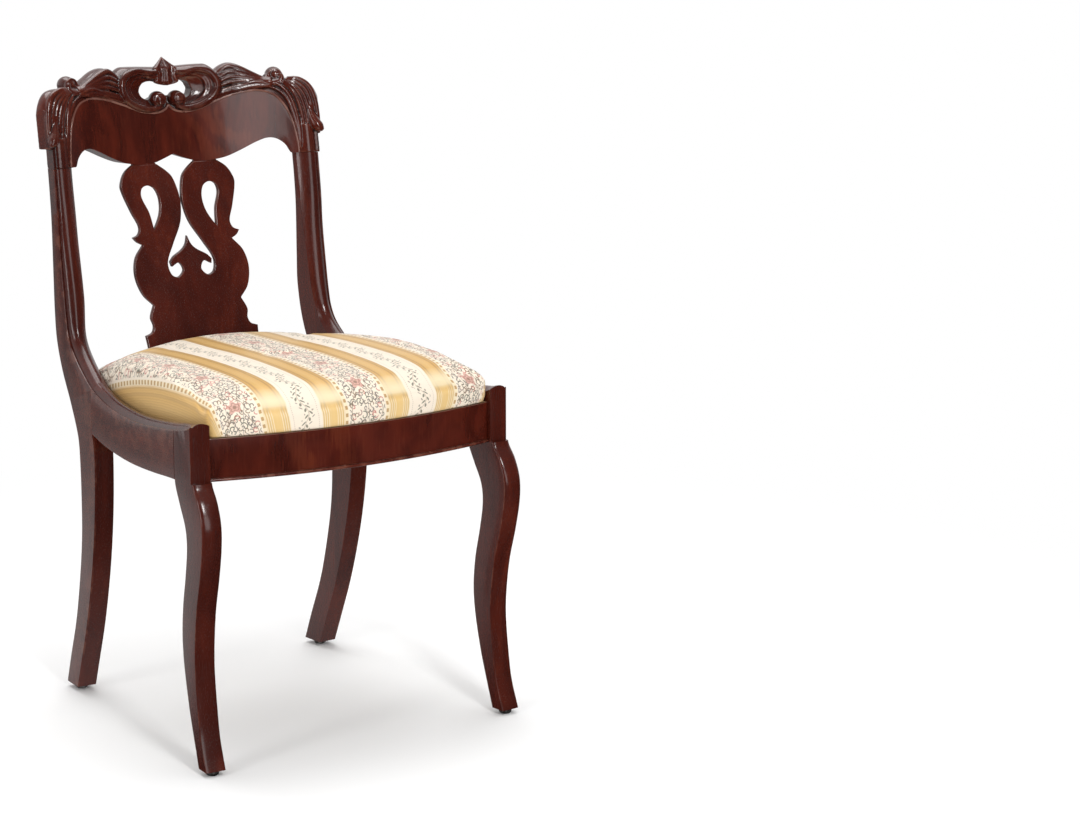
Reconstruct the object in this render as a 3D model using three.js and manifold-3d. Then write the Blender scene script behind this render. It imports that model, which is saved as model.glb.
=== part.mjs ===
// A klismos side chair of carved mahogany with a slip seat.
// Millimetres, +Z up. The chair faces -Y and +X is to the right of someone looking at its front.
// Each side frame is worked in its own plane: s runs back from the face of the front post,
// z runs up from the floor and t runs inward from the outer face.
import * as THREE from 'three';
import { mergeVertices } from 'three/addons/utils/BufferGeometryUtils.js';
import Module from 'manifold-3d';

const wasm = await Module();
wasm.setup();

// Driving dimensions
const frontWidth = 461;        // over the outer faces of the front posts
const rearWidth = 398;         // over the outer faces of the rear posts, at the top of the stiles
const sideThickness = 26.5;    // of the board that legs, side rails and stiles are sawn from
const postDepth = 49;          // front post, front to back
const railSpan = 264;          // side rail between its two posts
const stileDepth = 126;        // from the front seam of the rear post to its rearmost point
const legHeight = 364;         // floor to the lower edge of the rails at the front post
const postHeight = 69;         // front post above the leg
const seamRise = 6;            // seam between side rail and rear post: its foot above the leg's top
const seamDrop = 5;            // and its upper end, at the outer arris, below the post's top
const seamLag = 24;            // how much lower that end lies at the back of the rear post
const stileHeight = 277;       // from the seam up to the joint between stiles and crest rail
const footSweep = 82;          // how far the rear foot's front corner stands behind the seam
const stileSweep = 105;        // how far the stile's front arris stands behind the seam at the top
const stileTenon = 25;         // height of the stile's tenon in the crest rail
const stileTurn = 13;          // how far the stile's inner front edge is set back at the top
const stileSwell = 3.5;         // how much thicker the stiles are above the seat, on their inner faces
const mouldingRise = 9;        // half round along the top of side rails and the front of stiles
const kneeSwell = 4;           // rounding of the front leg's face at the knee
const glideHeight = 7;         // metal glide under each foot
const glideRadius = 8.5;
const glideShank = 12;
const glideShankRadius = 1.6;

const railDrop = 17;           // front and rear rails, where the slip seat rests, below the post's top
const frontRailHeight = 53;
const frontRailThickness = 24;
const frontBow = 30;           // how far the front rail's middle stands ahead of its ends
const frontRailSet = 4;        // front rail's ends behind the face of the posts
const veneerThickness = 1.5;
const beadProud = 2.5;         // cock bead under the front rail
const beadHeight = 4;
const rearRailHeight = 48;
const rearRailSet = 22;        // rear rail's lower front edge behind the seam
const rearRailFoot = 30;       // its thickness at the lower edge
const rearRailHead = 39;       // its thickness at the top
const rearRailLean = 15;       // run of its front face from bottom to top
const tenonLength = 18;
const tenonThickness = 9;
const tenonShoulder = 8;

const splatThickness = 6.5;
const splatRise = 60;          // corners of the splat's foot above the rear rail
const splatHeadDrop = 7;       // flat tops of the two swan heads below the crest joint
const splatHalfWidth = 86.5;
const splatSet = 22;           // splat's face behind the front edge of the rear rail's top
const splatProud = 2;          // and ahead of the middle of the crest's front
const splatTenon = 12;         // tongues at the splat's foot and heads
const splatTongue = 3.4;       // thickness of the tongues in the crest rail

const crestThickness = 26;
const crestRadius = 370;       // plan radius of the crest's hollow front
const crestProud = 4.5;         // crest's front ahead of the stiles' front
const crestLean = 0.15;        // run back for each unit of rise
const earOverhang = 0.5;       // ears past the outer faces of the stiles
const earWidth = 24.5;         // carved end beside the veneered panel
const lobeDepth = 12;          // panel's two lower lobes below its cusp
const panelHeight = 87.7;      // from the crest joint up to the panel's highest upper edge
const crestRise = 121;         // from the crest joint up to the base of the peak
const peakRise = 14;           // leaf peak above the base
const earLift = 26;            // the ears' lower edge above the crest joint
const earRound = 7;            // how far the ears' outer front corner is rounded back
const earFlare = 5;            // how far the tip of each ear turns out
const knobRadius = 11;
const knobInset = 49;        // knobs inside the ends of the crest
const knobSet = 16;            // their middles behind the crest's front
const scrollRadius = 10.5;
const scrollSpacing = 14;
const piercingHalfWidth = 40;
const piercingHeight = 25;
const piercingFoot = 78;       // from the crest joint up to the pierced opening
const strandRadius = 4.2;      // carved strands round the opening and down the ears
const carvingProud = 3.5;      // carved ground ahead of the panel
const fluteDepth = 2.4;

const slipThickness = 16;      // boards of the slip seat's frame
const slipRailWidth = 44;
const slipTenon = 14;
const slipTenonThickness = 6;
const seatProud = 1;           // seat's front edge ahead of the face of the front rail
const turnUnder = 20;          // cover turned under the seat's frame
const coverThickness = 1.4;
const padHeight = 61;          // middle of the crown above the rails
const padEdge = 31;            // height of the upholstered edge above the rails, along the front
const padFall = 12;            // how much lower the edge lies in the rear corners
const padSwell = 23.5;          // how much higher it stands half way along the sides and back
const padCorner = 6;           // rounding of the seat's front corners, half of it at the back
const seatClearance = 1.6;     // slip seat to side rails and posts
const webbingWidth = 50;
const webbingThickness = 1.6;
const webbingLap = 30;         // length of each end that lies on the frame
const hessianThickness = 1;

const blockLeg = 46;           // corner blocks
const blockHeight = 34;
const screwRadius = 2.2;
const screwHeadRadius = 4.2;
const screwLength = 30;
const screwBite = 7.5;         // depth of the thread in rail or post
const fit = 0.3;               // gap between pieces that touch
const overrun = 3;             // how far a cut runs past what it cuts

// Colours
const mahogany = { color: 0x4a2019, roughness: 0.32, metalness: 0 };
const figured = { color: 0x5c2416, roughness: 0.28, metalness: 0 };
const secondary = { color: 0x9a7650, roughness: 0.7, metalness: 0 };
const steel = { color: 0x77746f, roughness: 0.45, metalness: 0.9 };
const fabric = { color: 0xe6d3a6, roughness: 0.75, metalness: 0 };
const jute = { color: 0xb39a6b, roughness: 0.9, metalness: 0 };

// Derived places
const postTop = legHeight + postHeight;
const seamFoot = legHeight + seamRise;
const seamTop = postTop - seamDrop;
const crestJoint = seamTop + stileHeight;
const railTop = postTop - railDrop;
const seam = postDepth + railSpan;
const splay = Math.atan((frontWidth - rearWidth) / 2 / (seam + stileDepth));
const innerHalf = frontWidth / 2 - sideThickness;
const widestHalf = Math.max(frontWidth, rearWidth) / 2;
const crestEnd = rearWidth / 2 + earOverhang;
const crestHalfSpan = crestEnd - earWidth;
const crestHollow = crestRadius - Math.sqrt(crestRadius ** 2 - ((rearWidth - sideThickness) / 2) ** 2);
const crestReach = seam + stileSweep + crestHollow - crestProud;

// Geometry helpers

function solidOf(geometry) {
	const bare = geometry.clone();
	for (const name of ['normal', 'uv']) bare.deleteAttribute(name);
	const merged = mergeVertices(bare, 1e-4);
	const vertProperties = new Float32Array(merged.attributes.position.array);
	const triVerts = new Uint32Array(merged.index.array);
	const mesh = new wasm.Mesh({ numProp: 3, vertProperties, triVerts });
	mesh.merge();
	return new wasm.Manifold(mesh);
}

function geometryOf(solid) {
	const { vertProperties, triVerts } = solid.getMesh();
	const geometry = new THREE.BufferGeometry();
	geometry.setAttribute('position', new THREE.BufferAttribute(vertProperties, 3));
	geometry.setIndex(new THREE.BufferAttribute(triVerts, 1));
	return geometry;
}

const join = (...parts) => geometryOf(parts.map(solidOf).reduce((a, b) => a.add(b)));
const cut = (body, ...tools) => geometryOf(tools.map(solidOf).reduce((a, b) => a.subtract(b), solidOf(body)));
const common = (a, b) => geometryOf(solidOf(a).intersect(solidOf(b)));

// A smooth function through rows of [x, y], x rising
function smooth(rows) {
	const slope = (i) => {
		const a = rows[Math.max(i - 1, 0)], b = rows[Math.min(i + 1, rows.length - 1)];
		return (b[1] - a[1]) / (b[0] - a[0]);
	};
	return (x) => {
		let i = rows.findIndex((row) => row[0] >= x);
		if (i < 0) i = rows.length - 1;
		i = Math.max(i, 1);
		const [x0, y0] = rows[i - 1], [x1, y1] = rows[i];
		const h = x1 - x0, u = THREE.MathUtils.clamp((x - x0) / h, 0, 1);
		const a = (1 + 2 * u) * (1 - u) ** 2, b = u * u * (3 - 2 * u);
		return a * y0 + b * y1 + h * (u * (1 - u) ** 2 * slope(i - 1) - u * u * (1 - u) * slope(i));
	};
}

const spread = (from, to, count) => Array.from({ length: count + 1 },
	(_, i) => from + (to - from) * i / count);

// A closed body through rings of points, each ring a list of Vector3 in the same order
function loft(rings) {
	const count = rings[0].length;
	const position = rings.flat().flatMap((p) => p.toArray());
	const index = [];
	rings.slice(1).forEach((_, r) => {
		for (let i = 0; i < count; i++) {
			const j = (i + 1) % count;
			const a = r * count + i, b = r * count + j, c = a + count, d = b + count;
			index.push(a, b, d, a, d, c);
		}
	});
	[[rings[0], 0, true], [rings.at(-1), (rings.length - 1) * count, false]].forEach(([ring, start, flip]) => {
		for (const [a, b, c] of capFaces(ring)) {
			index.push(start + a, start + (flip ? c : b), start + (flip ? b : c));
		}
	});
	return outward(position, index);
}

// Triangles over a flat ring, in the ring's own direction
function capFaces(ring) {
	const normal = new THREE.Vector3();
	ring.forEach((p, i) => normal.add(new THREE.Vector3().crossVectors(p, ring[(i + 1) % ring.length])));
	const across = ring[1].clone().sub(ring[0]).normalize();
	const up = new THREE.Vector3().crossVectors(normal.normalize(), across);
	const flat = ring.map((p) => new THREE.Vector2(p.dot(across), p.dot(up)));
	return THREE.ShapeUtils.triangulateShape(flat, []);
}

// Turns a closed mesh's faces outward
function outward(position, index) {
	const geometry = new THREE.BufferGeometry();
	geometry.setAttribute('position', new THREE.Float32BufferAttribute(position, 3));
	const p = (i) => new THREE.Vector3().fromArray(position, 3 * i);
	let volume = 0;
	for (let i = 0; i < index.length; i += 3) {
		volume += p(index[i]).dot(p(index[i + 1]).cross(p(index[i + 2])));
	}
	for (let i = 0; volume < 0 && i < index.length; i += 3) {
		[index[i], index[i + 1]] = [index[i + 1], index[i]];
	}
	geometry.setIndex(index);
	return geometry;
}

// The same mesh seen in the plane x = 0
function mirrored(geometry) {
	const bare = geometry.clone().applyMatrix4(new THREE.Matrix4().makeScale(-1, 1, 1));
	for (const name of ['normal', 'uv']) bare.deleteAttribute(name);
	const merged = mergeVertices(bare, 1e-4);
	return outward(Array.from(merged.attributes.position.array), Array.from(merged.index.array));
}

function box(x0, x1, y0, y1, z0, z1) {
	const geometry = new THREE.BoxGeometry(x1 - x0, y1 - y0, z1 - z0);
	return geometry.translate((x0 + x1) / 2, (y0 + y1) / 2, (z0 + z1) / 2);
}

// An outline in x and z, with its holes, made solid from y = 0 back
function upright(points, depth, holes = []) {
	const shape = new THREE.Shape(points);
	shape.holes = holes.map((hole) => new THREE.Path(hole));
	const geometry = new THREE.ExtrudeGeometry(shape, { depth, bevelEnabled: false });
	return geometry.rotateX(Math.PI / 2).translate(0, depth, 0);
}

// Smooth runs that meet at corners, each run a list of shares, scaled to a width and a height
const traced = (runShares, width, height, steps) => runShares.flatMap((run) => {
	const points = run.map(([x, y]) => new THREE.Vector2(x * width, y * height));
	if (points.length < 3) return points.slice(0, -1);
	return new THREE.SplineCurve(points).getPoints(steps * (points.length - 1)).slice(0, -1);
});

// A rod along a list of points, with a radius that may change along it
function strand(points, radiusAt, steps, sides) {
	const curve = new THREE.CatmullRomCurve3(points);
	const frames = curve.computeFrenetFrames(steps, false);
	return loft(spread(0, 1, steps).map((u, i) => {
		const centre = curve.getPointAt(u);
		const radius = radiusAt(u);
		return spread(0, 2 * Math.PI, sides).slice(1).map((angle) => centre.clone()
			.addScaledVector(frames.normals[i], radius * Math.cos(angle))
			.addScaledVector(frames.binormals[i], radius * Math.sin(angle)));
	}));
}

// Side frame

// Section of the half round across the board: shares of its thickness and of its rise,
// from the fillet on the outer arris to the inner edge
const mouldingShares = [[0, 0], [0.03, 0.16], [0.09, 0.16], [0.12, 0.04], [0.2, 0.45], [0.32, 0.78],
	[0.48, 1], [0.66, 0.92], [0.84, 0.6], [1, 0.1]];

const side = (s, z, t) => new THREE.Vector3(-t, s, z);

const railArris = smooth([[0, 1], [0.035, 0.99], [0.185, 0.97], [0.34, 0.957], [0.5, 0.948], [0.66, 0.948],
	[0.82, 0.957], [0.95, 0.977], [1, seamTop / postTop]].map(([a, b]) => [a * seam, b * postTop]));
const railLower = smooth([[0, 0.996], [0.2, 0.99], [0.38, 0.981], [0.56, 0.977], [0.72, 0.982], [0.88, 0.997],
	[1, seamFoot / legHeight]].map(([a, b]) => [a * seam, b * legHeight]));

// The space under the moulded top from one s to another, down to a lower line
function underMoulding(from, to, lower, steps, riseAt, past) {
	return loft(spread(from, to, steps).map((s) => [
		side(s, lower(s), sideThickness + past), side(s, lower(s), -past),
		...(past ? [side(s, railArris(s), -past)] : []),
		...mouldingShares.map(([a, b]) => side(s, railArris(s) + b * riseAt(s), a * sideThickness)),
		...(past ? [side(s, railArris(s) + mouldingShares.at(-1)[1] * riseAt(s), sideThickness + past)] : [])]));
}

// A tenon in the middle of the side board's thickness
const tenonBox = (s0, s1, z0, z1, grow) => box(-(sideThickness + tenonThickness) / 2 - grow,
	-(sideThickness - tenonThickness) / 2 + grow, s0 - grow, s1 + grow, z0 - grow, z1 + grow);

const sideTenon = (grow, s0, s1) => tenonBox(s0, s1, railLower((s0 + s1) / 2) + tenonShoulder,
	railArris((s0 + s1) / 2) - tenonShoulder, grow);
const frontTenon = (grow) => sideTenon(grow, postDepth - tenonLength, postDepth + fit + overrun);
const rearTenon = (grow) => sideTenon(grow, seam - fit - overrun, seam + tenonLength);

function sideRail() {
	const body = underMoulding(postDepth + fit, seam - fit, railLower, 16, () => mouldingRise, 0);
	return join(body, frontTenon(0), rearTenon(0));
}

// Front leg and post: shares of the leg's height and of the post's depth
const legFront = smooth([[0, -0.49], [0.1, -0.22], [0.2, -0.09], [0.34, 0.02], [0.44, -0.01], [0.56, -0.15],
	[0.68, -0.4], [0.79, -0.57], [0.87, -0.57], [0.94, -0.37], [0.985, -0.12], [1, -0.08]]);
const legBack = smooth([[0, -0.035], [0.1, 0.215], [0.2, 0.455], [0.34, 0.695], [0.44, 0.765], [0.55, 0.685],
	[0.67, 0.475], [0.77, 0.35], [0.84, 0.42], [0.91, 0.71], [0.97, 0.95], [1, 1]]);
const legSwell = smooth([[0, 0.2], [0.4, 0.35], [0.8, 1], [1, 0.9]]);
const faceShares = [[0, 0], [0.08, 0.5], [0.25, 0.85], [0.5, 1], [0.75, 0.85], [0.92, 0.5], [1, 0]];

function legRing(front, back, swell, z) {
	return [side(back, z, sideThickness), side(back, z, 0),
		...faceShares.map(([a, b]) => side(front - b * swell, z, a * sideThickness))];
}

function frontLeg() {
	const legLength = legHeight - glideHeight;
	const leg = spread(0, 1, 22).map((u) => legRing(legFront(u) * postDepth, legBack(u) * postDepth,
		legSwell(u) * kneeSwell, glideHeight + u * legLength));
	const postStart = legHeight + fit;
	const post = [postStart, postTop + mouldingRise].map((z) => legRing(0, postDepth, kneeSwell / 2, z));
	const fadeAt = (s) => mouldingRise * THREE.MathUtils.smoothstep(s, -postDepth, postDepth);
	const floorOf = () => glideHeight - overrun;
	const envelope = underMoulding(-postDepth, postDepth + overrun, floorOf, 8, fadeAt, overrun);
	return common(loft([...leg, ...post]), envelope);
}

// Rear post: sabre leg and stile in one piece
const legFrontBehind = smooth([[0, 1], [0.1, 0.81], [0.26, 0.51], [0.43, 0.26], [0.59, 0.085], [0.75, -0.025],
	[0.92, -0.07], [0.97, -0.035], [1, 0]]);
const rearEdge = smooth([[0, 0.942], [0.051, 0.827], [0.137, 0.622], [0.223, 0.481], [0.308, 0.385],
	[0.394, 0.357], [0.48, 0.369], [0.51, 0.408], [0.565, 0.578], [0.62, 0.779], [0.675, 0.906],
	[0.73, 0.94], [0.8, 0.943], [0.9, 0.946], [0.96, 0.972], [1, 1]]);
const stileFront = smooth([[0, 0], [0.025, 0.129], [0.061, 0.3], [0.1, 0.455], [0.164, 0.648], [0.231, 0.751],
	[0.302, 0.797], [0.44, 0.853], [0.64, 0.918], [0.8, 0.942], [1, 1]]);

const rearAt = (z) => seam + stileDepth * rearEdge((z - glideHeight) / (crestJoint - glideHeight));

function postRing(front, back, lift, setback, thickness) {
	return [side(back.x, back.y, thickness), side(back.x, back.y, 0),
		...mouldingShares.map(([a, b]) => side(front.x + a * setback - b * mouldingRise * Math.cos(lift),
			front.y + b * mouldingRise * Math.sin(lift), a * thickness))];
}

// A square section of the leg, with no moulding
const legSection = (front, back) => [side(back.x, back.y, sideThickness), side(back.x, back.y, 0),
	...mouldingShares.map(([a]) => side(front.x, front.y, a * sideThickness))];

function stileRing(u) {
	const z = seamTop + u * stileHeight;
	const step = 0.004;
	const slope = (stileFront(u + step) - stileFront(u)) * stileSweep / (step * stileHeight);
	const turned = THREE.MathUtils.smoothstep(u, 0, 0.1);
	const lift = THREE.MathUtils.lerp(Math.PI / 2, u < 1 ? Math.atan(slope) : 0, turned);
	const back = z - seamLag * (1 - u) ** 6;
	const setback = stileTurn * THREE.MathUtils.smoothstep(u, 0.35, 1);
	const thickness = sideThickness + stileSwell * THREE.MathUtils.smoothstep(u, 0.18, 0.4);
	return postRing(new THREE.Vector2(seam + stileFront(u) * stileSweep, z),
		new THREE.Vector2(rearAt(back), back), lift, setback, thickness);
}

const stileTongue = (grow) => tenonBox(seam + stileSweep + tenonShoulder / 2,
	seam + stileDepth - tenonShoulder / 2, crestJoint - overrun, crestJoint + stileTenon, grow);

function rearPostBody() {
	const lower = spread(0, 1, 12).map((u) => {
		const z = glideHeight + u * (seamFoot - glideHeight);
		return legSection(new THREE.Vector2(seam + legFrontBehind(u) * footSweep, z),
			new THREE.Vector2(rearAt(z), z));
	});
	const seamRings = [0.45, 0.96].map((u) => {
		const z = THREE.MathUtils.lerp(seamFoot, seamTop, u);
		const back = THREE.MathUtils.lerp(seamFoot, seamTop - seamLag, u);
		return legSection(new THREE.Vector2(seam, z), new THREE.Vector2(rearAt(back), back));
	});
	const stops = [0, 0.02, 0.045, 0.075, 0.11, 0.15, 0.2, 0.26, 0.33, 0.42, 0.52, 0.64, 0.76, 0.88, 1];
	return loft([...lower, ...seamRings, ...stops.map((u) => stileRing(u))]);
}

// The right-hand side frame's place in the chair
const sidePlace = new THREE.Matrix4().makeRotationZ(splay).setPosition(frontWidth / 2, 0, 0);
const inChair = (geometry) => geometry.clone().applyMatrix4(sidePlace);
const bothSides = (geometry) => [geometry, mirrored(geometry)];
const innerAt = (s) => frontWidth / 2 - sideThickness / Math.cos(splay) - s * Math.tan(splay);

// What lies past the inner faces of the side frames
const sideSpace = inChair(box(-sideThickness - fit, frontWidth, -crestReach, 2 * crestReach, 0,
	2 * crestJoint));
const betweenSides = (geometry) => cut(geometry, ...bothSides(sideSpace));

// A tenon from a cross rail into a side frame, square to that frame's inner face
const crossTenon = (s0, s1, z0, z1, grow) => box(-sideThickness - fit - overrun,
	tenonLength - sideThickness + grow, s0 - grow, s1 + grow, z0 - grow, z1 + grow);

// Front rail, its veneer and its cock bead

const railBottom = railTop - frontRailHeight;
const bowAt = (x) => frontRailSet - frontBow * (1 - (x / innerHalf) ** 2);

// A strip that follows the rail's bow, its section given as [depth behind the face, height]
const bowed = (section) => loft(spread(-innerHalf, innerHalf, 14).map((x) => section
	.map(([depth, z]) => new THREE.Vector3(x, bowAt(x) + depth, z))));
const strip = (near, far, z0, z1) => bowed([[near, z0], [far, z0], [far, z1], [near, z1]]);

const frontRailBody = () => strip(veneerThickness + fit, frontRailThickness, railBottom, railTop);
const frontRailTenon = (grow) => crossTenon(frontRailSet + tenonShoulder,
	frontRailSet + tenonShoulder + tenonThickness, railBottom + tenonShoulder, railTop - tenonShoulder, grow);
const frontRailVeneer = () => betweenSides(strip(0, veneerThickness, railBottom + beadHeight + fit, railTop));
const beadShares = [[-1, 0.5], [-0.87, 0.25], [-0.5, 0.07], [0, 0]];
const beadLower = beadShares.map(([a, b]) => [a * beadProud, railBottom + b * beadHeight]);
const beadUpper = beadShares.slice(1).map(([a, b]) => [a * beadProud, railBottom + (1 - b) * beadHeight]);
const frontRailBead = () => betweenSides(bowed([...beadLower, [veneerThickness, railBottom],
	[veneerThickness, railBottom + beadHeight], ...beadUpper.toReversed()]));

// Rear rail, its front face leaning with the posts

const rearRailBottom = railTop - rearRailHeight;
const rearRailFront = seam + rearRailSet;
const rearRailBody = () => loft([-widestHalf, widestHalf].map((x) => [
	[rearRailFront, rearRailBottom], [rearRailFront + rearRailFoot, rearRailBottom],
	[rearRailFront + rearRailLean + rearRailHead, railTop], [rearRailFront + rearRailLean, railTop]]
	.map(([s, z]) => new THREE.Vector3(x, s, z))));
const rearCorner = rearRailFront + rearRailLean;
const rearTenonSet = tenonShoulder / 4;
const rearTenonThickness = rearRailFoot / 2;
const rearRailTenon = (grow) => crossTenon(rearCorner + rearTenonSet,
	rearCorner + rearTenonSet + rearTenonThickness, rearRailBottom + tenonShoulder,
	railTop - tenonShoulder, grow);

// Splat: two swan-neck scrolls with a pointed finial between them.
// Shares of its half width and of its height from the foot's corners to the heads' tops.

const splatFootShares = [[[0.983, 0], [0.867, 0.017], [0.827, 0.052], [0.85, 0.103], [0.769, 0.173]]];
const splatBodyShares = [[[0.769, 0.173], [0.925, 0.242], [1, 0.35], [0.948, 0.453], [0.786, 0.529]],
	[[0.786, 0.529], [0.879, 0.549], [0.936, 0.576]]];
const splatHeadShares = [[[0.936, 0.576], [0.832, 0.594], [0.798, 0.637], [0.89, 0.726], [0.999, 0.865],
	[0.963, 0.919], [0.884, 0.964], [0.751, 1]], [[0.751, 1], [0.324, 1]]];
const splatThroatShares = [[[0.324, 1], [0.185, 0.96], [0.092, 0.919], [0.029, 0.834], [0.017, 0.758],
	[0.081, 0.646], [0.272, 0.518], [0.408, 0.417], [0.375, 0.345], [0.26, 0.326], [0.156, 0.365],
	[0.22, 0.41], [0.347, 0.39]],
	[[0.347, 0.39], [0.364, 0.419]], [[0.364, 0.419], [0.289, 0.448], [0.127, 0.484],
		[0.046, 0.516], [0, 0.565]]];
const splatDropShares = [[[0.549, 0.614], [0.587, 0.717], [0.676, 0.812], [0.65, 0.86], [0.549, 0.877],
	[0.437, 0.859], [0.38, 0.812], [0.375, 0.758], [0.41, 0.702], [0.486, 0.648], [0.549, 0.614]]];
const splatFootShare = 0.925;
const splatHeadShare = 0.54;

const splatFootHalf = splatFootShare * splatHalfWidth;
const splatSeat = railTop + splatRise;
const splatHeadTop = crestJoint - splatHeadDrop;
const splatFootReach = rearCorner + splatSet;
const splatLean = (crestReach - splatProud - splatFootReach) / (crestJoint - railTop);

const leaning = (geometry) => geometry
	.applyMatrix4(new THREE.Matrix4().makeShear(0, 0, 0, 0, 0, splatLean))
	.translate(0, splatFootReach - splatLean * railTop, 0);
const footTongueHalf = splatFootHalf - tenonShoulder;
const splatFootTongue = (grow) => leaning(box(-footTongueHalf - grow, footTongueHalf + grow, -grow,
	splatThickness + grow, railTop - splatTenon - grow, railTop + overrun));
const headMiddle = splatHeadShare * splatHalfWidth;
const splatHeadTongue = (grow) => leaning(box(headMiddle - splatTenon - grow, headMiddle + splatTenon + grow,
	splatThickness - splatTongue - grow, splatThickness + grow,
	splatHeadTop - overrun, splatHeadTop + splatTenon + grow));

function splat() {
	const height = splatHeadTop - splatSeat;
	const traceUp = (runShares) => traced(runShares, splatHalfWidth, height, 3)
		.map((p) => new THREE.Vector2(p.x, p.y + splatSeat));
	const right = [new THREE.Vector2(splatFootHalf, railTop + fit),
		...[splatFootShares, splatBodyShares, splatHeadShares, splatThroatShares].flatMap(traceUp)];
	const tip = new THREE.Vector2(0, splatSeat + splatThroatShares.at(-1).at(-1)[1] * height);
	const left = right.map((p) => new THREE.Vector2(-p.x, p.y)).toReversed();
	const drop = traceUp(splatDropShares);
	const otherDrop = drop.map((p) => new THREE.Vector2(-p.x, p.y));
	const board = upright([...right, tip, ...left], splatThickness, [drop, otherDrop]);
	return join(leaning(board), splatFootTongue(0), ...bothSides(splatHeadTongue(0)));
}

// Crest rail. Half outlines run from the middle to the end: shares of the half length, and of a height
// above the joint with the stiles.

const halfLine = (rows, length, height) => {
	const line = smooth(rows.map(([a, b]) => [a * length, b * height]));
	return (x) => crestJoint + line(Math.abs(x));
};
const jointShare = fit / lobeDepth;
const panelFoot = halfLine([[0, 0.42], [0.07, 0.03], [0.17, -0.43], [0.28, -0.53], [0.36, -0.43],
	[0.45, -0.15], [0.56, 0.5], [0.68, 1.33], [0.76, 1.75], [0.82, 1.73], [0.87, 1.33], [0.905, 0.75],
	[0.925, 0.1],
	[0.935, jointShare], [0.97, jointShare], [1, jointShare]], crestHalfSpan, lobeDepth);
const panelHead = halfLine([[0, 0.82], [0.03, 0.76], [0.09, 0.715], [0.17, 0.715], [0.26, 0.75],
	[0.345, 0.815], [0.43, 0.875], [0.55, 0.95], [0.7, 1], [0.775, 0.985], [0.835, 0.94], [0.88, 0.865],
	[0.92, 0.75],
	[0.955, 0.58], [0.978, 0.38], [0.992, 0.16], [1, 0.08]], crestHalfSpan, panelHeight);
const crestHead = halfLine([[0, 1], [0.3, 1.02], [0.34, 0.99], [0.37, 0.95], [0.415, 0.995], [0.46, 1.03],
	[0.52, 1.005], [0.61, 0.922], [0.69, 0.85], [0.76, 0.825], [0.85, 0.845], [0.92, 0.83], [0.955, 0.79],
	[0.985, 0.715], [1, 0.64]], crestEnd, crestRise);

// A place on the crest: x along it, z up, w behind its hollow front
function crestPoint(x, z, w) {
	const turn = Math.asin(x / crestRadius);
	return new THREE.Vector3((crestRadius + w) * Math.sin(turn),
		crestReach - crestRadius + (crestRadius + w) * Math.cos(turn) + crestLean * (z - crestJoint), z);
}

const stationShares = [0, 0.03, 0.08, 0.14, 0.2, 0.26, 0.31, 0.34, 0.357, 0.37, 0.387, 0.415, 0.46, 0.51,
	0.56, 0.61, 0.66, 0.71, 0.75, 0.785, 0.81, 0.835, 0.858, 0.874, 0.9, 0.93, 0.96, 0.98, 1];
function crestStations(end) {
	const half = stationShares.map((a) => a * crestEnd).filter((x) => x <= end);
	return [...half.slice(1).toReversed().map((x) => -x), ...half];
}

// Carved front above the panel: shares of its height, and of the flutes' depth
const fluteShares = [[0.02, 0], [0.14, 1], [0.3, 0.2], [0.46, 1.05], [0.62, 0.15], [0.78, 0.9], [0.92, 0.1]];

// Beyond this share of the half length the ears' front turns back
const earTurnShare = 0.86;

function crestBody() {
	const ground = veneerThickness + fit;
	return loft(crestStations(crestEnd).map((x) => {
		const foot = panelFoot(Math.min(Math.abs(x), crestHalfSpan)), top = crestHead(x);
		const panelTop = Math.abs(x) < crestHalfSpan ? panelHead(x) : foot + fit;
		const edge = Math.min(crestThickness / 5, (top - panelTop) / 3);
		const back = earRound * THREE.MathUtils.smoothstep(Math.abs(x) / crestEnd, earTurnShare, 1);
		const carvedFront = fluteShares.map(([a, b]) => [THREE.MathUtils.lerp(panelTop, top, a) - a * back,
			back + carvingProud * (a * a - 1) - b * fluteDepth]);
		return [[foot, crestThickness], [foot, ground + back], [panelTop, ground + back], ...carvedFront,
			[top - back / 2, crestThickness / 4 + back / 2], [top, crestThickness - edge],
			[top - edge, crestThickness]].map(([z, w]) => crestPoint(x, z, w));
	}));
}

const crestVeneer = () => loft(crestStations(crestHalfSpan - veneerThickness).map((x) => {
	const foot = panelFoot(x), head = panelHead(x) - fit;
	return [[foot, veneerThickness], [foot, 0], [head, 0], [head, veneerThickness]]
		.map(([z, w]) => crestPoint(x, z, w));
}));

// The foot of the crest, in line with the stile below it
function crestFoot() {
	const ring = (z) => {
		const run = crestLean * (z - crestJoint);
		return postRing(new THREE.Vector2(seam + stileSweep + run, z),
			new THREE.Vector2(seam + stileDepth + run, z), 0, stileTurn, sideThickness + stileSwell);
	};
	return inChair(loft([crestJoint + fit, crestJoint + earLift + crestThickness / 2].map(ring)));
}

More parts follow.
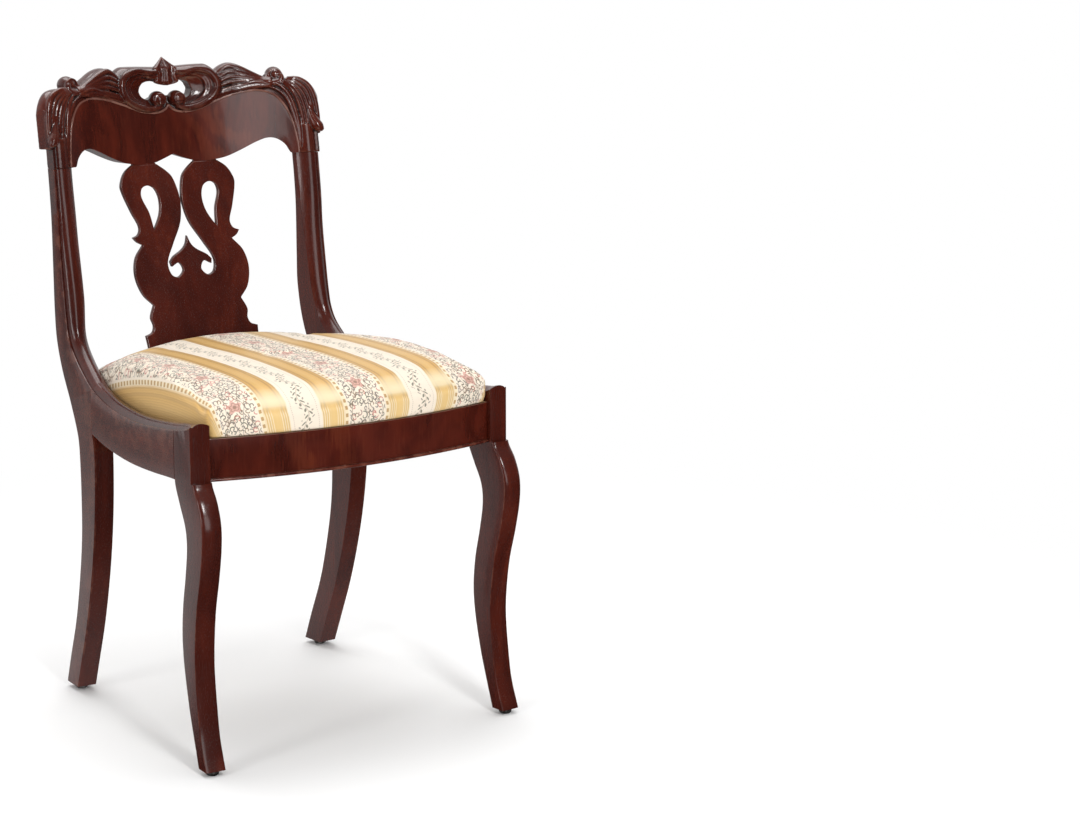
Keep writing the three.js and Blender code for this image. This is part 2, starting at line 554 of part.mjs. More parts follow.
// Strands round the pierced opening and down the ears: places as shares of the half length and of the rise
const openingStrandShares = [[0.03, 0.985], [0.13, 0.955], [0.24, 0.965], [0.325, 0.91], [0.36, 0.8],
	[0.325, 0.68], [0.24, 0.59], [0.14, 0.555], [0.065, 0.59], [0.045, 0.65]];
const innerStrandShares = [[0.1, 0.87], [0.17, 0.89], [0.235, 0.87], [0.27, 0.79], [0.255, 0.69], [0.2, 0.62],
	[0.13, 0.59]];
const humpStrandShares = [[0.39, 0.7], [0.45, 0.8], [0.53, 0.83], [0.61, 0.8], [0.69, 0.77], [0.75, 0.79]];
const edgeStrandShares = [[0.34, 0.64], [0.43, 0.68], [0.55, 0.735], [0.66, 0.755], [0.73, 0.735],
	[0.785, 0.69], [0.825, 0.59], [0.85, 0.44], [0.868, 0.26], [0.875, 0.1]];
const earStrandShares = [[[0.8, 0.82], [0.845, 0.74], [0.88, 0.6], [0.9, 0.44], [0.905, 0.24]],
	[[0.83, 0.84], [0.885, 0.77], [0.925, 0.64], [0.945, 0.48], [0.945, 0.26]],
	[[0.87, 0.85], [0.925, 0.78], [0.955, 0.66], [0.97, 0.5], [0.975, 0.36]]];
const taperShare = 0.55;
const bulge = (u) => Math.sqrt(Math.max(Math.sin(Math.PI * u), 0));
const taper = (u) => strandRadius * THREE.MathUtils.lerp(taperShare, 1, bulge(u));

const carvedStrand = (shares, sink, steps, size = 1) => strand(shares.map(([a, b]) => crestPoint(a * crestEnd,
	crestJoint + b * crestRise, sink)), (u) => size * taper(u), steps, 6);

// The curled tip that ends each ear: shares of the flare, of the rise, and of the strands' radius
const tipShares = [[-1.4, 0.5], [-0.8, 0.4], [0, 0.31], [1, 0.235]];
const tipSizeShares = [[0, 0.3], [0.5, 1], [0.8, 0.9], [1, 0.2]];
const tipRadius = smooth(tipSizeShares.map(([u, v]) => [u, v * strandRadius]));
const earTip = () => strand(tipShares.map(([a, b]) => crestPoint(crestEnd + a * earFlare,
	crestJoint + b * crestRise, earRound)), tipRadius, 8, 6);

const carvedBall = (x, z, w, radius, flat) => {
	const centre = crestPoint(x, z, w);
	return new THREE.SphereGeometry(radius, 12, 8).scale(1, flat, 1).translate(centre.x, centre.y, centre.z);
};

// Leaf peak: rhombic sections, widest where it stands on the crest
const peakShares = [[-1.4, 0.1, 0.6], [-0.9, 0.5, 0.9], [-0.3, 1.3, 1.1], [0, 1.9, 0.95], [0.3, 1.1, 0.7],
	[0.6, 0.55, 0.5], [0.85, 0.2, 0.35], [1, 0.06, 0.15]];
const peakSectionShares = [[-1, 0.3], [0, -1], [1, 0.3], [0, 1.2]];

function leafPeak() {
	const base = crestJoint + crestRise, half = crestThickness / 2;
	return loft(peakShares.map(([a, b, c]) => peakSectionShares.map(([u, v]) => crestPoint(u * b * half,
		base + a * peakRise, crestThickness / 3 + v * c * half))));
}

const piercingShares = [[[1, 0.5], [0.9, 0.16], [0.62, 0], [0.4, 0.12], [0, 0.2]],
	[[0, 0.2], [-0.4, 0.12], [-0.62, 0], [-0.9, 0.16], [-1, 0.5], [-0.86, 0.88], [-0.55, 1], [0, 0.86],
	[0.55, 1], [0.86, 0.88], [1, 0.5]]];

// Heights of the knobs' and scrolls' middles as shares of the rise, and how much the balls stand out
const knobShare = 0.87;
const scrollShare = 0.65;
const knobDepthShare = 1.2;
const scrollDepthShare = 1.3;

function crestRail() {
	const sink = -carvingProud / 2;
	const carved = [carvedStrand(openingStrandShares, sink, 22), carvedStrand(innerStrandShares, sink, 14, 0.8),
		carvedStrand(humpStrandShares, 2 * sink, 12, 0.9), carvedStrand(edgeStrandShares, sink, 20, 0.7),
		...earStrandShares.map((row) => carvedStrand(row, 0, 10)), earTip(),
		carvedBall(crestEnd - knobInset, crestJoint + knobShare * crestRise, knobSet, knobRadius,
			knobDepthShare)];
	const scrolls = carvedBall(scrollSpacing, crestJoint + scrollShare * crestRise, crestThickness / 5,
		scrollRadius, scrollDepthShare);
	const opening = upright(traced(piercingShares, piercingHalfWidth, piercingHeight, 3), 3 * crestThickness)
		.translate(0, crestReach - crestThickness, crestJoint + piercingFoot);
	const overhang = inChair(box(0, frontWidth, -crestReach, 2 * crestReach, 0, crestJoint + earLift));
	const whole = join(crestBody(), leafPeak(), ...carved.flatMap(bothSides));
	const board = cut(whole, opening, ...bothSides(overhang));
	const footed = join(board, ...bothSides(crestFoot()), ...bothSides(scrolls));
	return cut(footed, ...bothSides(inChair(stileTongue(fit))), ...bothSides(splatHeadTongue(fit)));
}

// Corner blocks, their screws and the glides

const frontCorner = frontRailSet + frontRailThickness;
const blockMiddle = railTop - blockHeight / 2;

// What lies ahead of the front rail's back, and behind the rear rail's front
const aheadOfFrontRail = () => strip(-blockLeg, frontRailThickness + fit, railBottom - overrun,
	railTop + overrun);
function behindRearRail() {
	const slope = rearRailLean / rearRailHeight;
	const [low, high] = [rearRailFront - fit - slope * overrun, rearCorner - fit + slope * overrun];
	const [bottom, top] = [rearRailBottom - overrun, railTop + overrun];
	return loft([-widestHalf, widestHalf].map((x) => [[low, bottom], [low + 2 * blockLeg, bottom],
		[high + 2 * blockLeg, top], [high, top]].map(([s, z]) => new THREE.Vector3(x, s, z))));
}

function cornerBlock(corner, away) {
	const ahead = corner - away * blockLeg / 2, behind = corner + away * blockLeg;
	const wide = widestHalf + blockLeg, narrow = innerAt(corner) - blockLeg;
	const outline = [[wide, ahead], [wide, behind], [innerAt(corner), behind], [narrow, corner],
		[narrow, ahead]]
		.map(([x, s]) => new THREE.Vector2(x, s));
	const shape = new THREE.ExtrudeGeometry(new THREE.Shape(outline),
		{ depth: blockHeight, bevelEnabled: false });
	return betweenSides(shape.translate(0, 0, railTop - blockHeight));
}

// A wood screw along +Y, its tip at the origin
function screw(grow) {
	const shank = screwRadius + grow, head = screwHeadRadius + grow;
	const end = screwLength + (grow ? blockLeg : 0);
	const profile = [[0, 0], [shank, 2 * screwRadius], [shank, screwLength - screwHeadRadius],
		[head, screwLength - grow], [head, end], [0, end]];
	return new THREE.LatheGeometry(profile.map(([r, z]) => new THREE.Vector2(r, z)), 10);
}

const screwAlongShare = 0.58;
const along = screwAlongShare * blockLeg;
const frontScrewAt = innerAt(frontCorner) - along;
const rearLeanAtScrew = rearRailLean * blockHeight / 2 / rearRailHeight;
const screwPlaces = {
	front_rail: [frontScrewAt, bowAt(frontScrewAt) + frontRailThickness - screwBite, 0],
	front_side: [innerAt(frontCorner + along) + screwBite, frontCorner + along, Math.PI / 2],
	rear_rail: [innerAt(rearCorner) - along, rearCorner - rearLeanAtScrew + screwBite, Math.PI],
	rear_side: [innerAt(rearCorner - along) + screwBite, rearCorner - along, Math.PI / 2],
};
const placedScrew = (name, grow) => {
	const [x, s, turn] = screwPlaces[name];
	return screw(grow).rotateZ(turn).translate(x, s, blockMiddle);
};

const glideShares = [[0, 0], [0.7, 0], [0.95, 0.25], [1, 0.6], [0.9, 1]];
function glide() {
	const head = glideHeight - fit, tip = glideHeight + glideShank;
	const profile = [...glideShares.map(([a, b]) => [a * glideRadius, b * head]), [glideShankRadius, head],
		[glideShankRadius, tip], [0, tip + glideShankRadius]];
	return new THREE.LatheGeometry(profile.map(([r, z]) => new THREE.Vector2(r, z)), 14).rotateX(Math.PI / 2);
}
const glideHole = () => new THREE.CylinderGeometry(glideShankRadius + fit, glideShankRadius + fit,
	2 * (glideShank + 2 * glideShankRadius), 8).rotateX(Math.PI / 2).translate(0, 0, glideHeight);
const glidePlaces = [(legFront(0) + legBack(0)) / 2 * postDepth, (seam + footSweep + rearAt(glideHeight)) / 2]
	.map((s) => side(s, 0, sideThickness / 2));

// Slip seat. Its outline follows the bowed front rail and the inner faces of the side frames.

const seatRear = splatFootReach - 2 * seatClearance;
const seatBottom = railTop + fit;

function seatOutline() {
	const edge = (x) => bowAt(x) - seatProud;
	const front = frontRailSet - seatProud;
	const wide = (s) => innerAt(s) - seatClearance;
	const a = wide(front) - padCorner, r = padCorner / 2;
	const shape = new THREE.Shape();
	shape.moveTo(-a, edge(a));
	shape.quadraticCurveTo(0, 2 * edge(0) - edge(a), a, edge(a));
	shape.quadraticCurveTo(wide(front), front, wide(front + padCorner), front + padCorner);
	shape.lineTo(wide(seatRear - r), seatRear - r);
	shape.quadraticCurveTo(wide(seatRear), seatRear, wide(seatRear) - r, seatRear);
	shape.lineTo(r - wide(seatRear), seatRear);
	shape.quadraticCurveTo(-wide(seatRear), seatRear, -wide(seatRear - r), seatRear - r);
	shape.lineTo(-wide(front + padCorner), front + padCorner);
	shape.quadraticCurveTo(-wide(front), front, -a, edge(a));
	return shape.getPoints(7).slice(0, -1);
}

const seatPoints = seatOutline();
const seatHalf = innerAt(seatRear / 2) - seatClearance;
const seatCentre = new THREE.Vector2(0, seatRear / 2);
const seatRing = (scale, inset, z) => seatPoints.map((p) => {
	const q = p.clone().sub(seatCentre).multiplyScalar(scale * (1 - inset / seatHalf)).add(seatCentre);
	return new THREE.Vector3(q.x, q.y, z);
});
const seatPrism = (inset, z0, z1) => loft([z0, z1].map((z) => seatRing(padShares[0][0], inset, z)));

// Shares of the outline, of the edge's height and of the rise from there to the middle
const padShares = [[0.988, 0, 0], [0.997, 0.25, 0], [1, 0.55, 0], [0.999, 0.88, 0], [0.99, 1, 0.03],
	[0.962, 1, 0.24], [0.89, 1, 0.48], [0.76, 1, 0.68], [0.57, 1, 0.86], [0.34, 1, 0.96], [0.08, 1, 1]];

function edgeHeight(p) {
	const along = THREE.MathUtils.clamp(p.y / seatRear, 0, 1), across = Math.min(Math.abs(p.x) / seatHalf, 1);
	const swell = Math.sin(Math.PI * along) ** 0.8 + along ** 4 * (1 - across ** 2);
	return padEdge - padFall * (along * across) ** 4 + padSwell * swell;
}

const pad = (inset) => loft(padShares.map(([a, b, c]) => seatRing(a, inset, 0).map((p, i) => {
	const edge = edgeHeight(seatPoints[i]);
	return p.setZ(seatBottom + b * edge + c * (padHeight - edge) + (b ? -inset : inset));
})));

const frameTop = seatBottom + coverThickness + fit + slipThickness;
const webbingMiddle = frameTop + fit + webbingThickness / 2 + webbingThickness;
const hessianBottom = webbingMiddle + webbingThickness + webbingThickness / 2 + fit;

const seatCover = () => cut(pad(0), pad(coverThickness),
	seatPrism(turnUnder, seatBottom - overrun, frameTop));
const seatStuffing = () => common(pad(coverThickness + fit), box(-widestHalf, widestHalf, -2 * frontBow,
	seatRear, hessianBottom + hessianThickness + fit, railTop + 2 * padHeight));
const hessian = () => seatPrism(2 * coverThickness, hessianBottom, hessianBottom + hessianThickness);

// Boards of the slip seat's frame: front and rear boards run across, side boards are tenoned into them
const frontBoardBack = frontRailSet - seatProud + slipRailWidth;
const rearBoardFront = seatRear - slipRailWidth;
const boardBlank = () => seatPrism(coverThickness + fit, seatBottom + coverThickness + fit, frameTop);
const boardSpace = (s0, s1) => box(-widestHalf, widestHalf, s0, s1, 0, crestJoint);

// A block beside a side frame, from one s to another and as wide and as tall as given
function besideFrame(s0, s1, width, rise, grow) {
	const outline = [[innerAt(s0) - width, s0], [widestHalf, s0], [widestHalf, s1], [innerAt(s1) - width, s1]];
	const shape = new THREE.Shape(outline.map(([x, s]) => new THREE.Vector2(x, s)));
	return new THREE.ExtrudeGeometry(shape, { depth: rise + 2 * grow, bevelEnabled: false })
		.translate(0, 0, frameTop - slipThickness / 2 - rise / 2 - grow);
}

// Tongues of a side board: shares of the board's width, from its outer edge in
const tongueShares = [0.35, 0.8];
function sideTongue(grow) {
	const [outer, inner] = tongueShares.map((share) => share * slipRailWidth);
	const wide = besideFrame(frontBoardBack - slipTenon - grow, rearBoardFront + slipTenon + grow, inner + grow,
		slipTenonThickness, grow);
	return cut(wide, besideFrame(0, crestReach, outer - grow, slipThickness, 2 * fit));
}

function slipBoards() {
	const blank = boardBlank();
	const tongues = bothSides(sideTongue(fit));
	const between = besideFrame(frontBoardBack + fit, rearBoardFront - fit, slipRailWidth, slipThickness, fit);
	const sideBoard = join(common(blank, between), sideTongue(0));
	return { front: cut(common(blank, boardSpace(-2 * frontBow, frontBoardBack)), ...tongues),
		rear: cut(common(blank, boardSpace(rearBoardFront, seatRear)), ...tongues), side: bothSides(sideBoard) };
}

// Webbing, three straps each way, woven over and under one another
const webbingShares = [-1, 0, 1];
const webbingPitch = (rearBoardFront - frontBoardBack) / 3;

function strap(across, lane, reach) {
	const over = lane % 2 ? 1 : -1;
	const sign = across ? over : -over;
	const rise = smooth([[-reach, -1], [-webbingPitch, sign], [0, -sign], [webbingPitch, sign], [reach, -1]]
		.map(([u, v]) => [u, v * webbingThickness]));
	const half = webbingWidth / 2, middle = (frontBoardBack + rearBoardFront) / 2;
	return loft(spread(-reach, reach, 16).map((u) => [[-1, -1], [1, -1], [1, 1], [-1, 1]].map(([a, b]) => {
		const v = lane * webbingPitch + a * half;
		const z = webbingMiddle + rise(u) + b * webbingThickness / 2;
		return across ? new THREE.Vector3(u, middle + v, z) : new THREE.Vector3(v, middle + u, z);
	})));
}

// The chair

const chair = new THREE.Group();
const frame = new THREE.Group();
const seat = new THREE.Group();
chair.add(frame, seat);

function add(group, name, geometry, look) {
	const facets = geometry.index ? geometry.toNonIndexed() : geometry;
	facets.computeVertexNormals();
	const mesh = new THREE.Mesh(facets, new THREE.MeshStandardMaterial(look));
	mesh.name = name;
	group.add(mesh);
	return mesh;
}

const sideNames = ['right', 'left'];
const addBoth = (group, name, geometry, look) => bothSides(geometry).forEach((copy, i) => add(group,
	`${name}_${sideNames[i]}`, copy, look));

const screwHoles = Object.fromEntries(Object.keys(screwPlaces).map((name) => [name, placedScrew(name, fit)]));
const glideHoles = glidePlaces.map((place) => glideHole().translate(...place.toArray()));

const legSolid = inChair(cut(frontLeg(), frontTenon(fit), frontRailTenon(fit), glideHoles[0]));
const postBody = join(rearPostBody(), stileTongue(0));
const postSolid = inChair(cut(postBody, rearTenon(fit), rearRailTenon(fit), glideHoles[1]));
addBoth(frame, 'front_leg', legSolid, mahogany);
addBoth(frame, 'rear_post', cut(postSolid, screwHoles.rear_side), mahogany);
addBoth(frame, 'side_rail', cut(inChair(sideRail()), screwHoles.front_side, screwHoles.rear_side), mahogany);

const railHoles = (name) => bothSides(screwHoles[name]);
add(frame, 'front_rail', cut(join(betweenSides(frontRailBody()), ...bothSides(inChair(frontRailTenon(0)))),
	...railHoles('front_rail')), secondary);
add(frame, 'front_rail_veneer', frontRailVeneer(), figured);
add(frame, 'front_rail_bead', frontRailBead(), mahogany);
add(frame, 'rear_rail', cut(join(betweenSides(rearRailBody()), ...bothSides(inChair(rearRailTenon(0)))),
	splatFootTongue(fit), ...railHoles('rear_rail')), mahogany);
add(frame, 'splat', splat(), mahogany);
add(frame, 'crest_rail', crestRail(), mahogany);
add(frame, 'crest_veneer', crestVeneer(), figured);

addBoth(frame, 'front_corner_block', cut(cornerBlock(frontCorner, 1), aheadOfFrontRail(),
	screwHoles.front_rail, screwHoles.front_side), secondary);
addBoth(frame, 'rear_corner_block', cut(cornerBlock(rearCorner, -1), behindRearRail(), screwHoles.rear_rail,
	screwHoles.rear_side), secondary);
for (const name of Object.keys(screwPlaces)) addBoth(frame, `${name}_screw`, placedScrew(name, 0), steel);
['front', 'rear'].forEach((name, i) => addBoth(frame, `${name}_glide`, inChair(glide()
	.translate(...glidePlaces[i].toArray())), steel));

const boards = slipBoards();
add(seat, 'seat_board_front', boards.front, secondary);
add(seat, 'seat_board_rear', boards.rear, secondary);
boards.side.forEach((board, i) => add(seat, `seat_board_${sideNames[i]}`, board, secondary));
const middleReach = (rearBoardFront - frontBoardBack) / 2 + webbingLap;
webbingShares.forEach((lane, i) => {
	const middle = (frontBoardBack + rearBoardFront) / 2 + lane * webbingPitch;
	add(seat, `webbing_across_${i + 1}`, strap(true, lane, innerAt(middle) - slipRailWidth + webbingLap), jute);
	add(seat, `webbing_along_${i + 1}`, strap(false, lane, middleReach), jute);
});
add(seat, 'seat_hessian', hessian(), jute);
add(seat, 'seat_stuffing', seatStuffing(), jute);
add(seat, 'seat_cover', seatCover(), fabric);

// The origin lies on the floor below the middle of the chair
const extent = new THREE.Box3().setFromObject(chair);
chair.position.y = -(extent.min.y + extent.max.y) / 2;

export default chair;
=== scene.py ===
"""Dresses a carved mahogany side chair with a slip seat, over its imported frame.

Places are in metres in the chair's own axes: +X to the right of someone who looks at its
front, +Y to its back and +Z up. Sizes are written in millimetres, as a chair maker gives
them, and Plan.metres turns finished points into metres. A side frame is worked in its own
plane: s runs back from the face of the front post, z runs up, and t runs inward from the
outer face.
"""

import logging
import math
from dataclasses import dataclass
from enum import Enum
from typing import Any, Callable, Sequence

import bmesh
import bpy
import numpy as np
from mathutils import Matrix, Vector


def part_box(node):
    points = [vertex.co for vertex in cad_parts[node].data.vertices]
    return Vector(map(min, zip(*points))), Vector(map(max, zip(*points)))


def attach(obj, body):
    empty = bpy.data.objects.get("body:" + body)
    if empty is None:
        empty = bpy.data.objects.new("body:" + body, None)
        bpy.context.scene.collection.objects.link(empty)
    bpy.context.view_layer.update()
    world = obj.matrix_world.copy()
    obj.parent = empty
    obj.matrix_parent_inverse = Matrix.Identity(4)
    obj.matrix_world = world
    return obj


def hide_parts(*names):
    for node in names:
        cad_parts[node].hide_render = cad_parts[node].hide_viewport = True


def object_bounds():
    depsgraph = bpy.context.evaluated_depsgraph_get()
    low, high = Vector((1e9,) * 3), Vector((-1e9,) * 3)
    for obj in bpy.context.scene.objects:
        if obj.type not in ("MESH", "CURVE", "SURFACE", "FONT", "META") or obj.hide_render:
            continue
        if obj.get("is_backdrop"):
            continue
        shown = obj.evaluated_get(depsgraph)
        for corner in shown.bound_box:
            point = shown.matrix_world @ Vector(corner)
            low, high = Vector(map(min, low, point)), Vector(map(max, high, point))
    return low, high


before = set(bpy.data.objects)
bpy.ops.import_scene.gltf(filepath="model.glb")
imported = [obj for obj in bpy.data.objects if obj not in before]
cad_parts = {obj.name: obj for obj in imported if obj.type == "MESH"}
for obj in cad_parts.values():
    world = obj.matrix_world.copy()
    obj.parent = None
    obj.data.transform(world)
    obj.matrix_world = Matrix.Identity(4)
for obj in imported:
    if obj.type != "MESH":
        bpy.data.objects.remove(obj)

Grid = np.ndarray
Rows = Sequence[Sequence[float]]
Colour = tuple[float, float, float]
LOG = logging.getLogger("chair")
MM = 0.001
SIDES = (1, -1)


# Lines and bodies


class Line:
    """A smooth function through rows of x and y, x rising."""

    def __init__(self, rows: Rows, x_size: float = 1.0, y_size: float = 1.0) -> None:
        """Keeps the rows and the slope at each of them.

        Args:
            rows: Pairs of x and y, x rising.
            x_size: What every x is multiplied by.
            y_size: What every y is multiplied by.
        """
        table = np.asarray(rows, float) * (x_size, y_size)
        self.x, self.y = table[:, 0], table[:, 1]
        before = np.maximum(np.arange(len(table)) - 1, 0)
        after = np.minimum(np.arange(len(table)) + 1, len(table) - 1)
        self.slope = (self.y[after] - self.y[before]) / (self.x[after] - self.x[before])

    def __call__(self, x: Any) -> Grid:
        """Reads the line, which is held level past its ends.

        Args:
            x: One place or many.

        Returns:
            The line's y at each of them.
        """
        x = np.asarray(x, float)
        i = np.clip(np.searchsorted(self.x, x), 1, len(self.x) - 1)
        step = self.x[i] - self.x[i - 1]
        u = np.clip((x - self.x[i - 1]) / step, 0, 1)
        ends = (1 + 2 * u) * (1 - u) ** 2 * self.y[i - 1] + u * u * (3 - 2 * u) * self.y[i]
        bend = u * (1 - u) ** 2 * self.slope[i - 1] - u * u * (1 - u) * self.slope[i]
        return ends + step * bend


def ease(x: Any, low: float, high: float) -> Grid:
    """A smooth step of x from 0 at low to 1 at high."""
    u = np.clip((np.asarray(x, float) - low) / (high - low), 0, 1)
    return u * u * (3 - 2 * u)


def stack(*columns: Any) -> Grid:
    """Columns of numbers, spread to one shape, as points."""
    return np.stack(np.broadcast_arrays(*[np.asarray(c, float) for c in columns]), -1)


def curve_through(points: Rows, count: int) -> Grid:
    """Evenly spread places on a smooth curve through a few points.

    Args:
        points: The points, each with any number of coordinates.
        count: How many places to give.

    Returns:
        The places, one row each.
    """
    given = np.asarray(points, float)
    length = np.r_[0, np.cumsum(np.linalg.norm(np.diff(given, axis=0), axis=1))]
    lines = [Line(np.c_[length, column]) for column in given.T]
    return np.stack([line(np.linspace(0, length[-1], count)) for line in lines], -1)


def traced(runs: Sequence[Rows], width: float, height: float, count: int) -> Grid:
    """Smooth runs that meet at corners, as one outline.

    Args:
        runs: Each run's points, as shares of the width and height.
        width: What the first share is multiplied by.
        height: What the second share is multiplied by.
        count: Places on each span between two points.

    Returns:
        The outline's points, without the last one.
    """
    out = []
    for run in runs:
        points = np.asarray(run, float) * (width, height)
        spans = 1 if len(points) < 3 else count * (len(points) - 1)
        out.append(curve_through(points, spans + 1)[:-1])
    return np.concatenate(out)


def rounded(rings: Grid, corners: dict[int, float], steps: int = 4) -> tuple[Grid, Grid]:
    """Rounds chosen corners of a body's sections.

    Args:
        rings: The sections, each a ring of points.
        corners: A radius for each corner's place in the ring.
        steps: Spans in each rounding.

    Returns:
        The new sections, and 1 for each point of a ring that lies on a rounded arris.
    """
    columns, marks = [], []
    count = rings.shape[1]
    for i in range(count):
        point = rings[:, i]
        if i not in corners:
            columns.append(point)
            marks.append(0.0)
            continue
        ends = []
        for j in (i - 1, (i + 1) % count):
            way = rings[:, j] - point
            size = np.linalg.norm(way, axis=-1, keepdims=True)
            ends.append(point + way / size * np.minimum(corners[i], size * 0.45))
        for u in np.linspace(0, 1, steps + 1):
            columns.append((1 - u) ** 2 * ends[0] + 2 * u * (1 - u) * point + u * u * ends[1])
            marks.append(math.sin(math.pi * u))
    return np.stack(columns, 1), np.asarray(marks)


class Body:
    """Closed bodies gathered as points and faces, with values for the finish on each point."""

    def __init__(self) -> None:
        """Starts with nothing in it."""
        self.points: list[Grid] = []
        self.faces: list[list[int]] = []
        self.values: dict[str, list[Grid]] = {"ridge": []}
        self.count = 0

    def loft(self, rings: Grid, ridge: Grid | float = 0.0, **values: Grid) -> "Body":
        """Adds a closed body through rings of points.

        Args:
            rings: Points in millimetres, ring by ring, all in one direction.
            ridge: How much each point of a ring lies on an arris, from 0 to 1.
            values: Any other values, one for each point.

        Returns:
            This body.
        """
        rows, ring = rings.shape[:2]
        i, j = np.meshgrid(np.arange(rows - 1), np.arange(ring), indexing="ij")
        k = (j + 1) % ring
        quads = np.stack([i * ring + j, i * ring + k, (i + 1) * ring + k, (i + 1) * ring + j], -1)
        self.faces += (quads.reshape(-1, 4) + self.count).tolist()
        self.faces.append(list(range(self.count + ring - 1, self.count - 1, -1)))
        self.faces.append(list(range(self.count + (rows - 1) * ring, self.count + rows * ring)))
        self.points.append(rings.reshape(-1, 3))
        self.values["ridge"].append(np.broadcast_to(ridge, (rows, ring)).reshape(-1))
        for name, value in values.items():
            self.values.setdefault(name, []).append(np.broadcast_to(value,
                                                                    (rows, ring)).reshape(-1))
        self.count += rows * ring
        return self

    def strand(self, places: Grid, radius: Any, sides: int = 10, flat: float = 1.0) -> "Body":
        """Adds a rod along places, its radius given for each of them.

        Args:
            places: The middle line, in millimetres.
            radius: One radius, or one for each place.
            sides: Points round the rod.
            flat: How much thinner the rod is across its second direction.

        Returns:
            This body.
        """
        ways = np.gradient(places, axis=0)
        ways /= np.linalg.norm(ways, axis=1, keepdims=True)
        first = np.cross(ways, (0.0, -1.0, 0.05))
        first /= np.linalg.norm(first, axis=1, keepdims=True)
        second = np.cross(ways, first)
        turn = np.linspace(0, 2 * math.pi, sides, endpoint=False)[None, :, None]
        size = np.broadcast_to(radius, len(places))[:, None, None]
        rings = np.cos(turn) * first[:, None] + np.sin(turn) * second[:, None] * flat
        return self.loft(places[:, None] + size * rings)

    def pair(self, places: Grid, radius: Any) -> "Body":
        """Adds a rod along places on the right, and its mirror image on the left.

        Args:
            places: The middle line on the right, in millimetres.
            radius: One radius, or one for each place.

        Returns:
            This body.
        """
        for sign in SIDES:
            self.strand(places * (sign, 1, 1), radius)
        return self

    def ball(self, centre: Grid, size: Sequence[float], rows: int = 16) -> "Body":
        """Adds a rounded ball.

        Args:
            centre: Its centre, in millimetres.
            size: Its three half sizes.
            rows: Rings from pole to pole.

        Returns:
            This body.
        """
        pole = 0.04
        lift = np.linspace(pole, math.pi - pole, rows)[:, None]
        turn = np.linspace(0, 2 * math.pi, 2 * rows, endpoint=False)[None]
        rings = stack(np.sin(lift) * np.cos(turn), np.sin(lift) * np.sin(turn), np.cos(lift))
        return self.loft(np.asarray(centre) + rings * np.asarray(size, float))

    def mesh(self, name: str, mirrored: bool = False) -> bpy.types.Mesh:
        """Makes the mesh.

        Args:
            name: The mesh's name.
            mirrored: Whether it is seen in the chair's middle plane.

        Returns:
            The mesh, in metres, its faces outward.
        """
        points = np.concatenate(self.points)
        if mirrored:
            points = points * (-1, 1, 1)
        mesh = bpy.data.meshes.new(name)
        mesh.from_pydata(PLAN.metres(points).tolist(), [], self.faces)
        for label, parts in self.values.items():
            write_values(mesh, label, np.concatenate(parts))
        made = bmesh.new()
        made.from_mesh(mesh)
        bmesh.ops.recalc_face_normals(made, faces=made.faces)
        made.to_mesh(mesh)
        made.free()
        return mesh


def write_values(mesh: bpy.types.Mesh, label: str, values: Grid) -> None:
    """Stores one number for each point of a mesh under a label that finishes read."""
    place = mesh.attributes.get(label) or mesh.attributes.new(label, "FLOAT", "POINT")
    place.data.foreach_set("value", np.asarray(values, np.float32))


def read_points(mesh: bpy.types.Mesh) -> Grid:
    """Reads the points of a mesh.

    Args:
        mesh: The mesh.

    Returns:
        Its points in metres, one row each.
    """
    flat = np.empty(len(mesh.vertices) * 3, np.float32)
    mesh.vertices.foreach_get("co", flat)
    return flat.reshape(-1, 3).astype(float)


def placed(name: str, data: Any) -> bpy.types.Object:
    """Puts a new object in the scene.

    Args:
        name: The object's name.
        data: What it shows, such as a mesh or a lamp.

    Returns:
        The object.
    """
    made = bpy.data.objects.new(name, data)
    bpy.context.scene.collection.objects.link(made)
    return made


def as_shown(holder: bpy.types.Object) -> bpy.types.Mesh:
    """A new mesh of what an object shows at this moment."""
    graph = bpy.context.evaluated_depsgraph_get()
    return bpy.data.meshes.new_from_object(holder.evaluated_get(graph))


def with_modifier(mesh: bpy.types.Mesh, kind: str, **settings: Any) -> bpy.types.Mesh:
    """Runs one modifier on a mesh.

    Args:
        mesh: The mesh, which is left as it is.
        kind: The modifier's type.
        settings: The modifier's settings.

    Returns:
        A new mesh.
    """
    holder = placed("holder", mesh)
    modifier = holder.modifiers.new(kind.title(), kind)
    for name, value in settings.items():
        setattr(modifier, name, value)
    made = as_shown(holder)
    bpy.data.objects.remove(holder)
    return made


def with_boolean(mesh: bpy.types.Mesh, other: bpy.types.Mesh, operation: str) -> bpy.types.Mesh:
    """Cuts one mesh by another, or keeps what they share.

    Args:
        mesh: The mesh, which is left as it is.
        other: The mesh that it is cut by or shares with.
        operation: DIFFERENCE or INTERSECT.

    Returns:
        A new mesh.
    """
    tool = placed("tool", other)
    made = with_modifier(mesh, "BOOLEAN", operation=operation, solver="EXACT", object=tool)
    bpy.data.objects.remove(tool)
    return made


